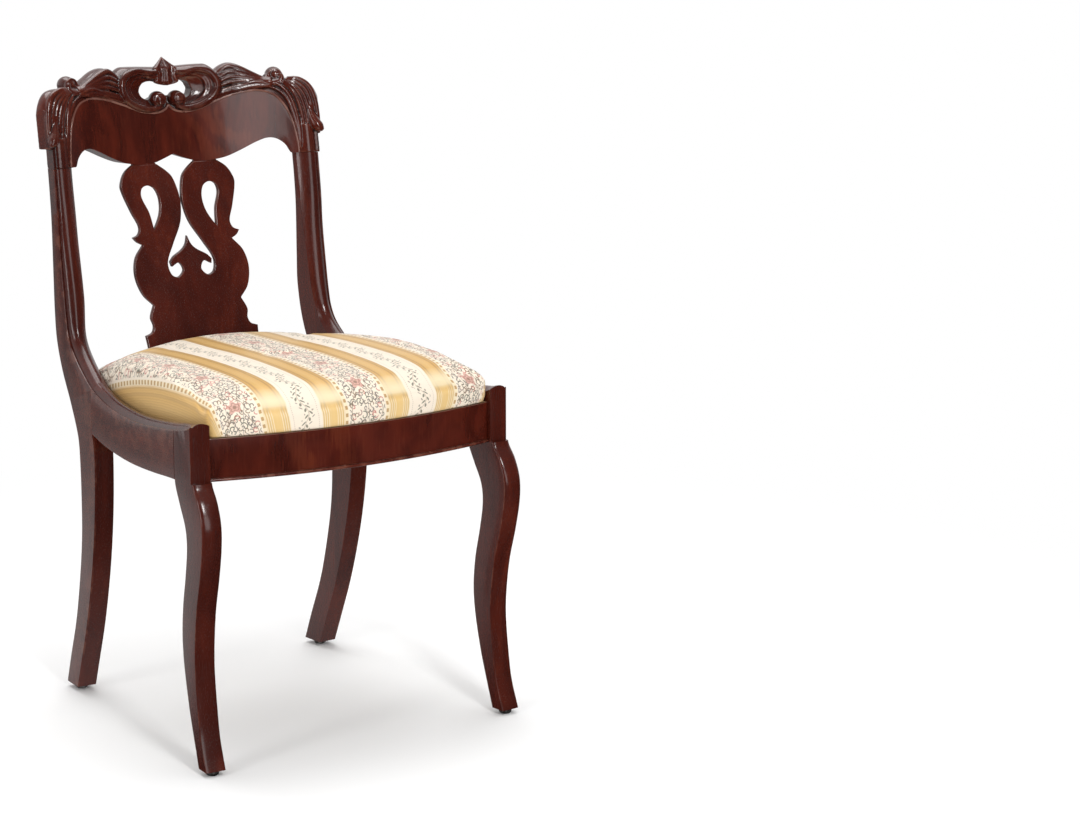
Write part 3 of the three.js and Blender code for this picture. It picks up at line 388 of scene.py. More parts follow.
def mark_relief(mesh: bpy.types.Mesh, reach: int, gain: float) -> None:
    """Writes how far each point of an even mesh stands in a hollow or on a ridge.

    Args:
        mesh: A mesh of evenly sized faces.
        reach: How many times the measure is spread to its neighbours.
        gain: What it is multiplied by, for a range from 0 to 1.
    """
    points = read_points(mesh)
    ends = np.empty(len(mesh.edges) * 2, np.int64)
    mesh.edges.foreach_get("vertices", ends)
    ends = ends.reshape(-1, 2)
    normals = np.empty(len(points) * 3, np.float32)
    mesh.vertices.foreach_get("normal", normals)
    normals = normals.reshape(-1, 3)
    count = np.maximum(np.bincount(ends.ravel(), minlength=len(points)), 1)

    def spread(values: Grid) -> Grid:
        """The mean of each point's neighbours."""
        sums = [np.bincount(ends[:, a], values[ends[:, 1 - a]], minlength=len(points))
                for a in (0, 1)]
        return (sums[0] + sums[1]) / count

    middle = np.stack([spread(column) for column in points.T], -1)
    bend = np.einsum("ij,ij->i", middle - points, normals) / MM
    for _ in range(reach):
        bend = 0.5 * bend + 0.5 * spread(bend)
    write_values(mesh, "hollow", np.clip(bend * gain, 0, 1))
    write_values(mesh, "ridge", np.clip(-bend * gain, 0, 1))


# Shader maths


class Wire:
    """A socket of a node tree under construction, with the operators of shader maths."""

    def __init__(self, nodes: "Nodes", socket: bpy.types.NodeSocket) -> None:
        """Wraps a socket of a tree."""
        self.nodes = nodes
        self.socket = socket

    def _maths(self, operation: str, other: "Wire | float", swapped: bool = False) -> "Wire":
        """One Math node on this socket and another value."""
        pair = (other, self) if swapped else (self, other)
        return self.nodes.maths(operation, *pair)

    def __add__(self, other: "Wire | float") -> "Wire":
        """This plus other."""
        return self._maths("ADD", other)

    def __sub__(self, other: "Wire | float") -> "Wire":
        """This less other."""
        return self._maths("SUBTRACT", other)

    def __rsub__(self, other: "Wire | float") -> "Wire":
        """Other less this."""
        return self._maths("SUBTRACT", other, True)

    def __mul__(self, other: "Wire | float") -> "Wire":
        """This times other."""
        return self._maths("MULTIPLY", other)

    def __truediv__(self, other: "Wire | float") -> "Wire":
        """This over other."""
        return self._maths("DIVIDE", other)

    def __gt__(self, other: "Wire | float") -> "Wire":
        """1 where this is greater than other, else 0."""
        return self._maths("GREATER_THAN", other)

    __radd__ = __add__
    __rmul__ = __mul__


Link = Wire | float | Sequence[float]


class Nodes:
    """A node tree while it is written."""

    def __init__(self, tree: bpy.types.NodeTree) -> None:
        """Starts with a tree and what it already holds."""
        self.tree = tree

    def node(self, kind: str, settings: dict[str, Any] | None = None,
             inputs: dict[str | int, Link] | None = None, output: str | int = 0) -> Wire:
        """Adds any node.

        Args:
            kind: The node's type.
            settings: Its settings, set first. Under "stops" come a ramp's places and colours.
            inputs: A value or a link for each socket, by its name or number.
            output: The socket to give, by its name or number.

        Returns:
            The output socket.
        """
        made = self.tree.nodes.new(kind)
        for name, value in (settings or {}).items():
            if name == "stops":
                self._stops(made.color_ramp, value)
            else:
                setattr(made, name, value)
        for name, value in (inputs or {}).items():
            self._feed(made.inputs[name], value)
        return Wire(self, made.outputs[output])

    @staticmethod
    def _stops(ramp: bpy.types.ColorRamp, stops: Sequence[tuple[float, Sequence[float]]]) -> None:
        """Writes a ramp's stops.

        Args:
            ramp: The ramp.
            stops: A place and a colour for each stop.
        """
        while len(ramp.elements) < len(stops):
            ramp.elements.new(1.0)
        for element, (place, colour) in zip(ramp.elements, stops):
            element.position = place
            element.color = (*colour, 1.0)

    def _feed(self, socket: bpy.types.NodeSocket, value: Link) -> None:
        """Links a wire to a socket, or sets the socket's own value.

        Args:
            socket: The socket.
            value: A wire, a number, a vector, or a colour without its fourth number.
        """
        if isinstance(value, Wire):
            self.tree.links.new(value.socket, socket)
        elif isinstance(value, (int, float)) or len(value) == len(socket.default_value):
            socket.default_value = value
        else:
            socket.default_value = (*value, 1.0)

    def maths(self, operation: str, *values: Wire | float) -> Wire:
        """One Math node on up to three values."""
        return self.node("ShaderNodeMath", {"operation": operation}, dict(enumerate(values)))

    def step(self, value: Wire, low: float, high: float) -> Wire:
        """A smooth step.

        Args:
            value: What is stepped.
            low: Where the step is 0. It may lie above high.
            high: Where it is 1.

        Returns:
            The step, from 0 to 1.
        """
        if low > high:
            return 1 - self.step(value, high, low)
        return self.node("ShaderNodeMapRange", {"interpolation_type": "SMOOTHSTEP"},
                         {"Value": value, "From Min": low, "From Max": high})

    def band(self, value: Wire, middle: float, half: float, soft: float) -> Wire:
        """1 where a value is within half of middle, with soft edges."""
        away = self.maths("ABSOLUTE", value - middle)
        return self.step(away, half + soft, max(half - soft, 0.0))

    def mix(self, factor: Link, a: Link, b: Link, blend: str = "MIX") -> Wire:
        """Two colours mixed by a factor."""
        return self.node("ShaderNodeMix", {"data_type": "RGBA", "blend_type": blend},
                         {0: factor, 6: a, 7: b}, 2)

    def vector(self, operation: str, a: Link, b: Link) -> Wire:
        """One Vector Math node on two vectors."""
        return self.node("ShaderNodeVectorMath", {"operation": operation}, {0: a, 1: b})

    def axis(self, place: Wire, name: str) -> Wire:
        """One coordinate of a place, X, Y or Z."""
        return self.node("ShaderNodeSeparateXYZ", None, {0: place}, name)

    def flat(self, x: Wire, y: Wire) -> Wire:
        """A place in a plane."""
        return self.node("ShaderNodeCombineXYZ", None, {0: x, 1: y})

    def ray(self, kind: str) -> Wire:
        """1 for a kind of ray, such as Camera, else 0."""
        return self.node("ShaderNodeLightPath", None, None, f"Is {kind} Ray")

    def places(self, scale: Sequence[float] = (1, 1, 1),
               shift: Sequence[float] = (0, 0, 0)) -> Wire:
        """The object's own coordinates in metres, stretched and shifted."""
        own = self.node("ShaderNodeTexCoord", None, None, "Object")
        return self.vector("ADD", self.vector("MULTIPLY", own, scale), shift)

    def value(self, label: str) -> Wire:
        """A number stored on the mesh's points."""
        return self.node("ShaderNodeAttribute", {"attribute_name": label}, None, "Fac")

    def noise(self, place: Link, scale: float, detail: float = 2.0, bend: float = 0.0) -> Wire:
        """Noise about 0.5 at a place."""
        return self.node("ShaderNodeTexNoise", None,
                         {"Vector": place, "Scale": scale, "Detail": detail, "Distortion": bend})

    def ramp(self, value: Link, stops: Sequence[tuple[float, Sequence[float]]]) -> Wire:
        """A colour read from a value by stops."""
        return self.node("ShaderNodeValToRGB", {"stops": stops}, {0: value})

    def bump(self, height: Wire, distance: float, strength: float = 1.0,
             under: Wire | None = None) -> Wire:
        """A normal from a height.

        Args:
            height: The height, as a share of the distance.
            distance: The greatest height, in metres.
            strength: How much of it counts.
            under: Another bump that lies under this one.

        Returns:
            The normal.
        """
        inputs: dict[str | int, Link] = {"Height": height, "Distance": distance,
                                         "Strength": strength}
        if under is not None:
            inputs["Normal"] = under
        return self.node("ShaderNodeBump", None, inputs, "Normal")


class Recipe(Nodes):
    """The nodes of one material."""

    def __init__(self, name: str) -> None:
        """Starts a material with one Principled shader.

        Args:
            name: The material's name.
        """
        self.material = bpy.data.materials.new(name)
        self.material.use_nodes = True
        super().__init__(self.material.node_tree)
        self.shader = self.tree.nodes["Principled BSDF"]

    def finish(self, constants: dict[str, float], **varying: Wire) -> bpy.types.Material:
        """Feeds the shader and gives the material.

        Args:
            constants: Numbers for the shader's own sockets, by socket name.
            varying: Wires for its sockets, an underscore for each space in a name.

        Returns:
            The material.
        """
        for name, number in constants.items():
            self.shader.inputs[name].default_value = number
        for name, wire in varying.items():
            self.tree.links.new(wire.socket, self.shader.inputs[name.replace("_", " ")])
        return self.material


# Finishes


class Grain(Enum):
    """The way the grain of a board runs, with how its places are squeezed."""

    ACROSS = (1 / 14, 1.0, 1.0)
    BACK = (1.0, 1 / 14, 1.0)
    UP = (1.0, 1.0, 1 / 14)


@dataclass(frozen=True)
class Mahogany:
    """Dark red-brown mahogany under a thin polished film."""

    name: str
    grain: Grain = Grain.UP
    seed: float = 0.0
    dark: Colour = (0.042, 0.0062, 0.0036)
    middle: Colour = (0.080, 0.0112, 0.0054)
    pale: Colour = (0.130, 0.023, 0.009)
    wear_and_highlight: Colour = (0.24, 0.085, 0.050)
    pore: Colour = (0.012, 0.003, 0.0025)
    hollow_patina_and_shade: Colour = (0.008, 0.0022, 0.002)
    wear_and_highlight_share: float = 0.35
    film: float = 0.22
    carved_film: float = 0.45
    carved: bool = False

    def colour(self, r: Recipe) -> Wire:
        """The wood's colour before its ridges are painted pale and its hollows darkened.

        Args:
            r: The recipe.

        Returns:
            The colour.
        """
        shift = (self.seed * 1.37, self.seed * 0.71, self.seed * 0.43)
        board = r.places(self.grain.value, shift)
        cloud = r.noise(r.places((1, 1, 1), shift), 11.0, 2.0)
        figure = r.noise(board, 26.0, 4.0, 0.9)
        streaks = r.noise(board, 240.0, 3.0, 0.2)
        ground = r.mix(r.step(figure * 0.7 + cloud * 0.3, 0.33, 0.68), self.dark, self.middle)
        return r.mix(r.step(streaks * 0.6 + figure * 0.4, 0.50, 0.72) * 0.38, ground, self.pale)

    def material(self) -> bpy.types.Material:
        """Writes the material.

        Returns:
            The material.
        """
        r = Recipe(self.name)
        shift = (self.seed, self.seed * 2.1, self.seed * 3.3)
        own = r.places((1, 1, 1), shift)
        tubes = r.places([v ** 1.2 for v in self.grain.value], shift)
        pores = r.step(r.noise(tubes, 1500.0, 1.0), 0.60, 0.70)
        # Arrises and carved ridges are painted pale: real wear on the arrises, and a painted
        # highlight on the moulding's fillet, the beads and the carving's ridges.
        wear_and_highlight = r.value("ridge") * r.step(r.noise(own, 60.0, 3.0), 0.42, 0.66) * self.wear_and_highlight_share
        colour = r.mix(pores * 0.45, self.colour(r), self.pore)
        colour = r.mix(wear_and_highlight, colour, self.wear_and_highlight)
        smear = r.step(r.noise(own, 22.0, 3.0), 0.35, 0.75)
        rough = 0.20 + smear * 0.06 + pores * 0.12 + wear_and_highlight * 0.15
        normal = r.bump(r.noise(r.places(self.grain.value, shift), 90.0, 2.0), 0.00012)
        normal = r.bump(1 - pores, 0.00003, 0.7, normal)
        if self.carved:
            # Dark patina in the carving's hollows, deepened as painted shade.
            hollow = r.value("hollow")
            colour = r.mix(r.step(hollow, 0.10, 0.85) * 0.82, colour, self.hollow_patina_and_shade)
            rough = rough + hollow * 0.3 - 0.04
            normal = r.bump(r.noise(own, 420.0, 2.0), 0.00014, 0.6, normal)
        shine = self.carved_film if self.carved else self.film
        return r.finish({"IOR": 1.5, "Coat Weight": shine, "Coat Roughness": 0.06},
                        Base_Color=colour, Roughness=rough, Normal=normal)


@dataclass(frozen=True)
class CrotchVeneer:
    """Mahogany veneer cut through a fork, with a flame in it."""

    name: str
    seed: float = 0.0
    flame_at: float = 0.075
    flame_lean: float = 0.8
    stretch: float = 5.0
    coarse: float = 1.0
    dark: Colour = (0.040, 0.0052, 0.0028)
    pale: Colour = (0.084, 0.0112, 0.0050)
    glow: Colour = (0.22, 0.045, 0.014)
    fleck: Colour = (0.17, 0.036, 0.016)
    wear_and_highlight: Colour = (0.27, 0.13, 0.10)

    def material(self) -> bpy.types.Material:
        """Writes the material.

        Returns:
            The material.
        """
        r = Recipe(self.name)
        shift = (self.seed, self.seed * 1.7, self.seed * 0.6)
        own = r.places((1, 1, 1), shift)
        warp = r.noise(own, 9.0, 2.0)
        split, height = (r.axis(r.places(), name) for name in ("X", "Z"))
        sweep = split + height * self.flame_lean + (warp - 0.5) * 0.16
        figure = r.noise(r.places((1, 1, 1 / self.stretch), shift), 38.0 * self.coarse, 4.0, 1.1)
        fine = r.noise(r.places((1, 1, 1 / 9), shift), 330.0, 3.0)
        ground = r.mix(r.step(figure * 0.75 + warp * 0.25, 0.34, 0.68), self.dark, self.pale)
        feather = r.maths("ABSOLUTE", r.maths("SINE", sweep * 52.0))
        flame = r.band(split, self.flame_at, 0.03, 0.05) * r.step(feather * fine * 2, 0.35, 0.95)
        colour = r.mix(flame * 0.22, ground, self.glow)
        colour = r.mix(r.step(fine, 0.52, 0.70) * 0.11, colour, self.fleck)
        # Arrises and the panel's bead are painted pale: wear on the arrises, and a painted
        # highlight along the bead.
        rub = r.step(r.noise(own, 70.0, 3.0), 0.35, 0.65)
        wear_and_highlight = r.value("ridge") * (0.35 + rub * 0.4)
        colour = r.mix(wear_and_highlight, colour, self.wear_and_highlight)
        rough = 0.17 + r.step(warp, 0.35, 0.7) * 0.08 + wear_and_highlight * 0.1
        normal = r.bump(r.noise(own, 55.0, 2.0), 0.00018)
        return r.finish({"IOR": 1.5, "Coat Weight": 0.28, "Coat Roughness": 0.05},
                        Base_Color=colour, Roughness=rough, Normal=normal)


@dataclass(frozen=True)
class SawnWood:
    """Plain secondary wood, sawn and left unfinished."""

    name: str
    grain: Grain = Grain.ACROSS
    tint: Colour = (0.40, 0.25, 0.125)
    stain: Colour = (0.09, 0.05, 0.028)

    def material(self) -> bpy.types.Material:
        """Writes the material.

        Returns:
            The material.
        """
        r = Recipe(self.name)
        board = r.places(self.grain.value, (0.3, 0.7, 0.2))
        rings = r.noise(board, 70.0, 4.0, 0.8)
        saw = r.noise(r.places([1 / v / 14 for v in self.grain.value]), 900.0, 2.0)
        dark = tuple(v * 0.5 for v in self.tint)
        colour = r.mix(r.step(rings, 0.36, 0.66), dark, self.tint)
        colour = r.mix(r.step(saw, 0.5, 0.8) * 0.25, colour, dark)
        old = r.step(r.noise(r.places(), 18.0, 3.0), 0.55, 0.8)
        colour = r.mix(old * 0.4, colour, self.stain)
        return r.finish({"IOR": 1.45}, Base_Color=colour, Roughness=0.62 + rings * 0.25,
                        Normal=r.bump(saw + rings, 0.00012))


@dataclass(frozen=True)
class DullMetal:
    """Old iron or brass, darkened and rubbed bright in places."""

    name: str
    bright: Colour = (0.36, 0.35, 0.33)
    dark: Colour = (0.05, 0.042, 0.036)

    def material(self) -> bpy.types.Material:
        """Writes the material.

        Returns:
            The material.
        """
        r = Recipe(self.name)
        patch = r.step(r.noise(r.places(), 260.0, 4.0), 0.40, 0.66)
        scratch = r.noise(r.places((1, 1, 12)), 900.0, 2.0)
        return r.finish({}, Base_Color=r.mix(patch, self.dark, self.bright),
                        Metallic=0.55 + patch * 0.4,
                        Roughness=0.62 - patch * 0.25 + scratch * 0.1,
                        Normal=r.bump(scratch, 0.00004))


@dataclass(frozen=True)
class PlainWeave:
    """Jute or hemp in a plain weave."""

    name: str
    pitch: float
    pale: Colour
    dark: Colour

    def material(self) -> bpy.types.Material:
        """Writes the material.

        Returns:
            The material.
        """
        r = Recipe(self.name)
        own = r.places()
        turns = math.pi / self.pitch
        waves = [r.maths("SINE", r.axis(own, name) * turns) for name in ("X", "Y")]
        weave = r.maths("ABSOLUTE", waves[0] * waves[1])
        slub = r.noise(own, 300.0, 3.0)
        colour = r.mix(weave * 0.7 + slub * 0.3, self.dark, self.pale)
        return r.finish({"Sheen Weight": 0.15}, Base_Color=colour, Roughness=0.8 + slub * 0.15,
                        Normal=r.bump(weave + slub * 0.5, self.pitch * 0.2))


@dataclass(frozen=True)
class StripedSatin:
    """Ivory and gold striped satin with woven flowers, made on the cover's own lines.

    The cover carries two lengths on each point: across, which runs over the stripes, and
    along, which runs down them. Both follow the cloth over the edges of the seat.
    """

    name: str
    period: float = 171.0
    centre: float = 4.0
    gold_from: float = 32.0
    gold_to: float = 64.0
    line_at: float = 29.8
    repeat: float = 86.0
    leaf_gap: float = 8.2
    ivory: Colour = (0.80, 0.70, 0.575)
    cream: Colour = (0.81, 0.69, 0.48)
    gold: Colour = (0.62, 0.355, 0.075)
    amber: Colour = (0.42, 0.215, 0.045)
    brown: Colour = (0.20, 0.115, 0.06)
    grey: Colour = (0.15, 0.125, 0.11)
    green: Colour = (0.085, 0.095, 0.06)
    pink: Colour = (0.52, 0.16, 0.13)
    honey: Colour = (0.66, 0.40, 0.115)
    straw: Colour = (0.86, 0.66, 0.34)
    apricot: Colour = (0.93, 0.63, 0.27)
    painted_sheen_pale: Colour = (0.83, 0.73, 0.50)
    crevice_shade_colour: Colour = (0.26, 0.14, 0.05)

    def signed(self, r: Recipe, value: Wire, period: float, shift: float = 0.0) -> Wire:
        """A length's signed distance from the nearest of evenly spread lines."""
        turns = (value - shift) / period + 0.5
        return (r.maths("FRACT", turns) - 0.5) * period

    def ellipse(self, r: Recipe, a: Wire, b: Wire, long: float, wide: float,
                turn: float) -> Wire:
        """An ellipse that is turned in the cloth.

        Args:
            r: The recipe.
            a: Millimetres from its centre across the cloth.
            b: Millimetres from its centre along it.
            long: Half its length.
            wide: Half its width.
            turn: Its turn, in radians.

        Returns:
            1 within the ellipse, else 0.
        """
        cosine, sine = math.cos(turn), math.sin(turn)
        first = (a * cosine + b * sine) / wide
        second = (b * cosine - a * sine) / long
        return r.step(first * first + second * second, 1.35, 0.65)

    def tints(self) -> list[tuple[float, Colour]]:
        """The scrolls' colours, as a ramp's stops that hold each colour level."""
        runs = ((0.0, self.pink, 0.18), (0.22, self.grey, 0.58), (0.62, self.green, 0.76),
                (0.80, self.brown, 1.0))
        return [(place, tint) for low, tint, high in runs for place in (low, high)]

    def flowers(self, r: Recipe, ground: Wire, u: Wire, v: Wire, rub: Wire) -> Wire:
        """The wide band: rosettes in frames, scrolls between them and leaves along these.

        Args:
            r: The recipe.
            ground: The band's own colour.
            u: Millimetres from the band's middle, across the cloth.
            v: Millimetres along the cloth.
            rub: A noise about 0.5 that makes the lines waver.

        Returns:
            The band's colour.
        """
        cell = self.signed(r, v, self.repeat)
        turn = 2 * math.pi / self.repeat
        wobble = (rub - 0.5) * 3.0
        side = r.maths("ABSOLUTE", u)
        distance = r.maths("SQRT", u * u + cell * cell * 0.8)
        angle = r.maths("ARCTAN2", cell, u)
        petals = 8.4 + r.maths("SINE", angle * 5.0) * 1.8
        rose = r.step(distance - petals + wobble * 0.3, 0.8, -0.8)
        heart = r.step(distance, 3.2, 1.8)
        ring = r.band(distance - petals * 0.62, 0.0, 0.5, 0.4)
        wave = r.maths("SINE", cell * turn - math.pi / 2)
        scroll = r.band(side - 14.5 - wave * 8.0 + wobble, 0.0, 0.6, 0.45)
        inner = r.band(side - 6.5 + wave * 5.0 + wobble, 0.0, 0.5, 0.4)
        inside = r.step(side, 26.5, 25.0) * r.step(distance, 8.5, 10.0)
        colour = ground
        for pitch, seed in ((12.5, 0.0), (8.5, 40.0)):
            curl, tone = self.curls(r, u * 1.1 + wobble + seed, v + seed, pitch)
            colour = r.mix(curl * inside * 0.92, colour, r.ramp(tone, self.tints()))
        colour = r.mix(scroll * 0.70, colour, self.brown)
        colour = r.mix(inner * inside * 0.55, colour, self.grey)
        colour = r.mix(rose * 0.62, colour, self.pink)
        colour = r.mix(ring * 0.72, colour, self.brown)
        return r.mix(heart * 0.70, colour, self.brown)

    def curls(self, r: Recipe, u: Wire, v: Wire, pitch: float) -> tuple[Wire, Wire]:
        """Small hooked scrolls, scattered and turned at random.

        Args:
            r: The recipe.
            u: Millimetres across the cloth.
            v: Millimetres along it.
            pitch: The mean distance between two scrolls.

        Returns:
            1 on a scroll's line, and a number that differs from scroll to scroll.
        """
        place = r.flat(u, v)
        centre, colour = (r.node("ShaderNodeTexVoronoi",
                                 {"voronoi_dimensions": "2D", "feature": "F1"},
                                 {"Vector": place, "Scale": 1 / pitch, "Randomness": 0.8}, output)
                          for output in ("Position", "Color"))
        tone = r.node("ShaderNodeSeparateColor", None, {0: colour})
        away = r.vector("SUBTRACT", place, centre)
        x, y = (r.axis(away, name) for name in ("X", "Y"))
        reach = r.maths("SQRT", x * x + y * y)
        share = r.maths("FRACT", r.maths("ARCTAN2", y, x) / (2 * math.pi) + tone * 3.7)
        line = r.band(reach - pitch * 0.08 - share * pitch * 0.42, 0.0, 0.66, 0.4)
        return line * r.step(share, 0.04, 0.12) * r.step(share, 1.0, 0.9), tone

    def garland(self, r: Recipe, ground: Wire, w: Wire, v: Wire, rub: Wire) -> Wire:
        """The narrow band: a wavy stem with leaves between two dotted lines.

        Args:
            r: The recipe.
            ground: The band's own colour.
            w: Millimetres from the band's middle, across the cloth.
            v: Millimetres along the cloth.
            rub: A noise about 0.5 that makes the stem waver.

        Returns:
            The band's colour.
        """
        turn = 2 * math.pi / (self.repeat / 2)
        bend = w - r.maths("SINE", v * turn) * 4.5 + (rub - 0.5) * 2.0
        stem = r.band(bend, 0.0, 0.45, 0.4)
        colour = r.mix(stem * 0.55, ground, self.brown)
        for side, shift in ((1, 0.0), (-1, 4.0)):
            cell = self.signed(r, v, self.leaf_gap, shift)
            leaf = self.ellipse(r, bend - side * 3.0, cell, 2.9, 1.2, side * 0.7)
            cell = self.signed(r, v, self.leaf_gap, shift + 3.5)
            far = self.ellipse(r, bend - side * 6.6, cell, 2.1, 1.0, -side * 0.8)
            colour = r.mix(leaf * 0.8, colour, self.green)
            colour = r.mix(far * 0.65 * (rub > 0.44), colour, self.grey)
        line = r.band(r.maths("ABSOLUTE", w), 16.8, 0.45, 0.4)
        dots = line * r.step(r.maths("SINE", v * 2.4), -0.2, 0.4)
        return r.mix(dots * 0.5, colour, self.brown)

    def satin(self, r: Recipe, away: Wire, fade: Wire, face: Wire, rub: Wire) -> Wire:
        """The gold stripe, deep on the top, with a painted highlight over the front edge and
        painted lighter copies on the front and flanks.

        Args:
            r: The recipe.
            away: Millimetres from the wide band's middle.
            fade: 1 over the front edge, where a satin highlight is painted pale.
            face: 1 on the front of the pad.
            rub: A noise about 0.5.

        Returns:
            The stripe's colour.
        """
        place = (away - self.gold_from) / (self.gold_to - self.gold_from)
        deep = r.ramp(place, [(0.0, self.cream), (0.07, self.amber), (0.13, self.gold),
                              (0.22, self.amber), (0.30, self.gold), (0.5, self.honey),
                              (0.72, self.gold), (0.80, self.amber), (0.87, self.gold),
                              (0.94, self.amber), (1.0, self.cream)])
        # The front face takes a lighter, ribbed copy of the gold and the flanks a lighter apricot
        # one: painted light for how the lamps fall on each face.
        ribs = r.step(r.maths("SINE", away * 2.1), -0.1, 0.5)
        bright = r.mix(0.45, deep, self.straw)
        ribbed = r.mix(ribs * (1 - r.band(place, 0.5, 0.14, 0.05)) * 0.75, bright, self.cream)
        fine = r.step(r.maths("SINE", away * 3.1 + rub * 5.0), -0.3, 0.6)
        flank = r.mix(fine * 0.22, r.mix(0.5, deep, self.apricot), self.amber)
        gold = r.mix(r.value("flank") * 0.8, r.mix(face, deep, ribbed), flank)
        # A painted highlight over the front shoulder, where the satin would shine.
        return r.mix(fade * 0.80, gold, self.painted_sheen_pale)

    def material(self) -> bpy.types.Material:
        """Writes the material.

        Returns:
            The material.
        """
        r = Recipe(self.name)
        across, along = r.value("across") * 1000.0, r.value("along") * 1000.0
        fade, face = r.value("fade"), r.value("face")
        flower_side = self.signed(r, across, self.period, self.centre)
        vine_side = self.signed(r, across, self.period, self.centre + self.period / 2)
        away = r.maths("ABSOLUTE", flower_side)
        rub = r.noise(r.flat(across, along), 0.11, 3.0)
        cloth = r.noise(r.flat(across * 4.0, along * 0.5), 0.9, 2.0)
        ground = r.mix(cloth, self.ivory, tuple(v * 1.07 for v in self.ivory))
        flowers = self.flowers(r, ground, flower_side, along, rub)
        garland = self.garland(r, ground, vine_side, along, rub)
        colour = r.mix(r.step(away, self.gold_to - 0.4, self.gold_to + 0.4), flowers, garland)
        dashes = r.step(r.maths("SINE", along * 0.66), -0.15, 0.15)
        colour = r.mix(r.band(away, self.line_at, 2.0, 0.4), colour, self.cream)
        colour = r.mix(r.band(away, self.line_at, 1.8, 0.4) * dashes * 0.80, colour, self.amber)
        middle = (self.gold_from + self.gold_to) / 2
        stripe = r.band(away, middle, (self.gold_to - self.gold_from) / 2, 0.35)
        colour = r.mix(stripe, colour, self.satin(r, away, fade, face, rub))
        # Painted shade where the cover meets the rails.
        colour = r.mix(r.value("crevice") * 0.36, colour, self.crevice_shade_colour)
        threads = r.maths("SINE", across * 6.3) * 0.5 + r.maths("SINE", along * 6.3) * 0.5
        figure = 1 - r.node("ShaderNodeRGBToBW", None, {0: flowers})
        height = (threads * (1 - stripe) * 0.5 + figure * (1 - stripe) * 0.8
                  + r.maths("SINE", away * 4.2) * stripe * 0.35)
        return r.finish({"Sheen Weight": 0.2, "Sheen Roughness": 0.4, "IOR": 1.45},
                        Base_Color=colour, Roughness=0.62 - stripe * 0.26 + cloth * 0.05,
                        Normal=r.bump(height, 0.00016, 0.8))


# The chair's shared plan


@dataclass(frozen=True)
class Plan:
    """Sizes in millimetres that several sub-assemblies share, as in the part's source."""

    front_width: float = 461.0
    rear_width: float = 398.0
    side_thickness: float = 26.5
    post_depth: float = 49.0
    rail_span: float = 264.0
    stile_depth: float = 126.0
    leg_height: float = 364.0
    post_height: float = 69.0
    seam_rise: float = 6.0
    seam_drop: float = 5.0
    stile_height: float = 277.0
    stile_sweep: float = 105.0
    glide_height: float = 7.0
    glide_set: float = -12.8625
    rail_drop: float = 17.0
    rear_rail_set: float = 22.0
    rear_rail_lean: float = 15.0
    splat_set: float = 22.0
    splat_proud: float = 2.0
    crest_radius: float = 370.0
    crest_proud: float = 4.5
    fit: float = 0.3

    @property
    def post_top(self) -> float:
        """Height of the front post's outer arris."""
        return self.leg_height + self.post_height

    @property
    def rail_top(self) -> float:
        """Height of the front and rear rails."""
        return self.post_top - self.rail_drop

    @property
    def seam(self) -> float:
        """Where the side rail meets the rear post."""
        return self.post_depth + self.rail_span

    @property
    def seam_foot(self) -> float:
        """Height of that seam's lower end."""
        return self.leg_height + self.seam_rise

    @property
    def seam_top(self) -> float:
        """Height of its upper end at the outer arris."""
        return self.post_top - self.seam_drop

    @property
    def crest_joint(self) -> float:
        """Height of the joint between stiles and crest rail."""
        return self.seam_top + self.stile_height

    @property
    def splay(self) -> float:
        """The side frames' turn in plan, in radians."""
        return math.atan((self.front_width - self.rear_width) / 2 / (self.seam + self.stile_depth))

    @property
    def crest_reach(self) -> float:
        """How far back the middle of the crest's front lies.

        Returns:
            The length behind the posts' face, in millimetres.
        """
        half = (self.rear_width - self.side_thickness) / 2
        hollow = self.crest_radius - math.sqrt(self.crest_radius ** 2 - half ** 2)
        return self.seam + self.stile_sweep + hollow - self.crest_proud

    @property
    def rear_corner(self) -> float:
        """The front edge of the rear rail's top."""
        return self.seam + self.rear_rail_set + self.rear_rail_lean

    @property
    def splat_reach(self) -> float:
        """The splat's face at the height of the rails."""
        return self.rear_corner + self.splat_set

    def inner_at(self, s: Any) -> Grid:
        """Half the space between the side frames, s back from the posts' face."""
        board = self.side_thickness / math.cos(self.splay)
        return self.front_width / 2 - board - np.asarray(s) * math.tan(self.splay)

    def side(self, s: Any, z: Any, t: Any) -> Grid:
        """Places points of the right side frame in the chair.

        Args:
            s: How far back they lie in the frame's plane.
            z: Their height.
            t: How far inward they lie.

        Returns:
            The points.
        """
        s, z, t = np.broadcast_arrays(*[np.asarray(v, float) for v in (s, z, t)])
        cosine, sine = math.cos(self.splay), math.sin(self.splay)
        return stack(self.front_width / 2 - t * cosine - s * sine, s * cosine - t * sine, z)

    def metres(self, points: Grid) -> Grid:
        """Points in millimetres, s from the posts' face, as places in the frame."""
        return (points - (0.0, ORIGIN, 0.0)) * MM


PLAN = Plan()


def frame_origin() -> float:
    """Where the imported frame's origin lies behind the posts' face.

    Returns:
        The length in millimetres, from the place of a front glide.
    """
    low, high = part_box("front_glide_right")
    planned = PLAN.side(PLAN.glide_set, 0, PLAN.side_thickness / 2)
    return float(planned[..., 1]) - (low.y + high.y) / 2 / MM


ORIGIN = frame_origin()


# Placing pieces


@dataclass(frozen=True)
class Place:
    """What a new piece rides on and stands for."""

    slot: str
    body: str = "frame"
    nodes: tuple[str, ...] = ()


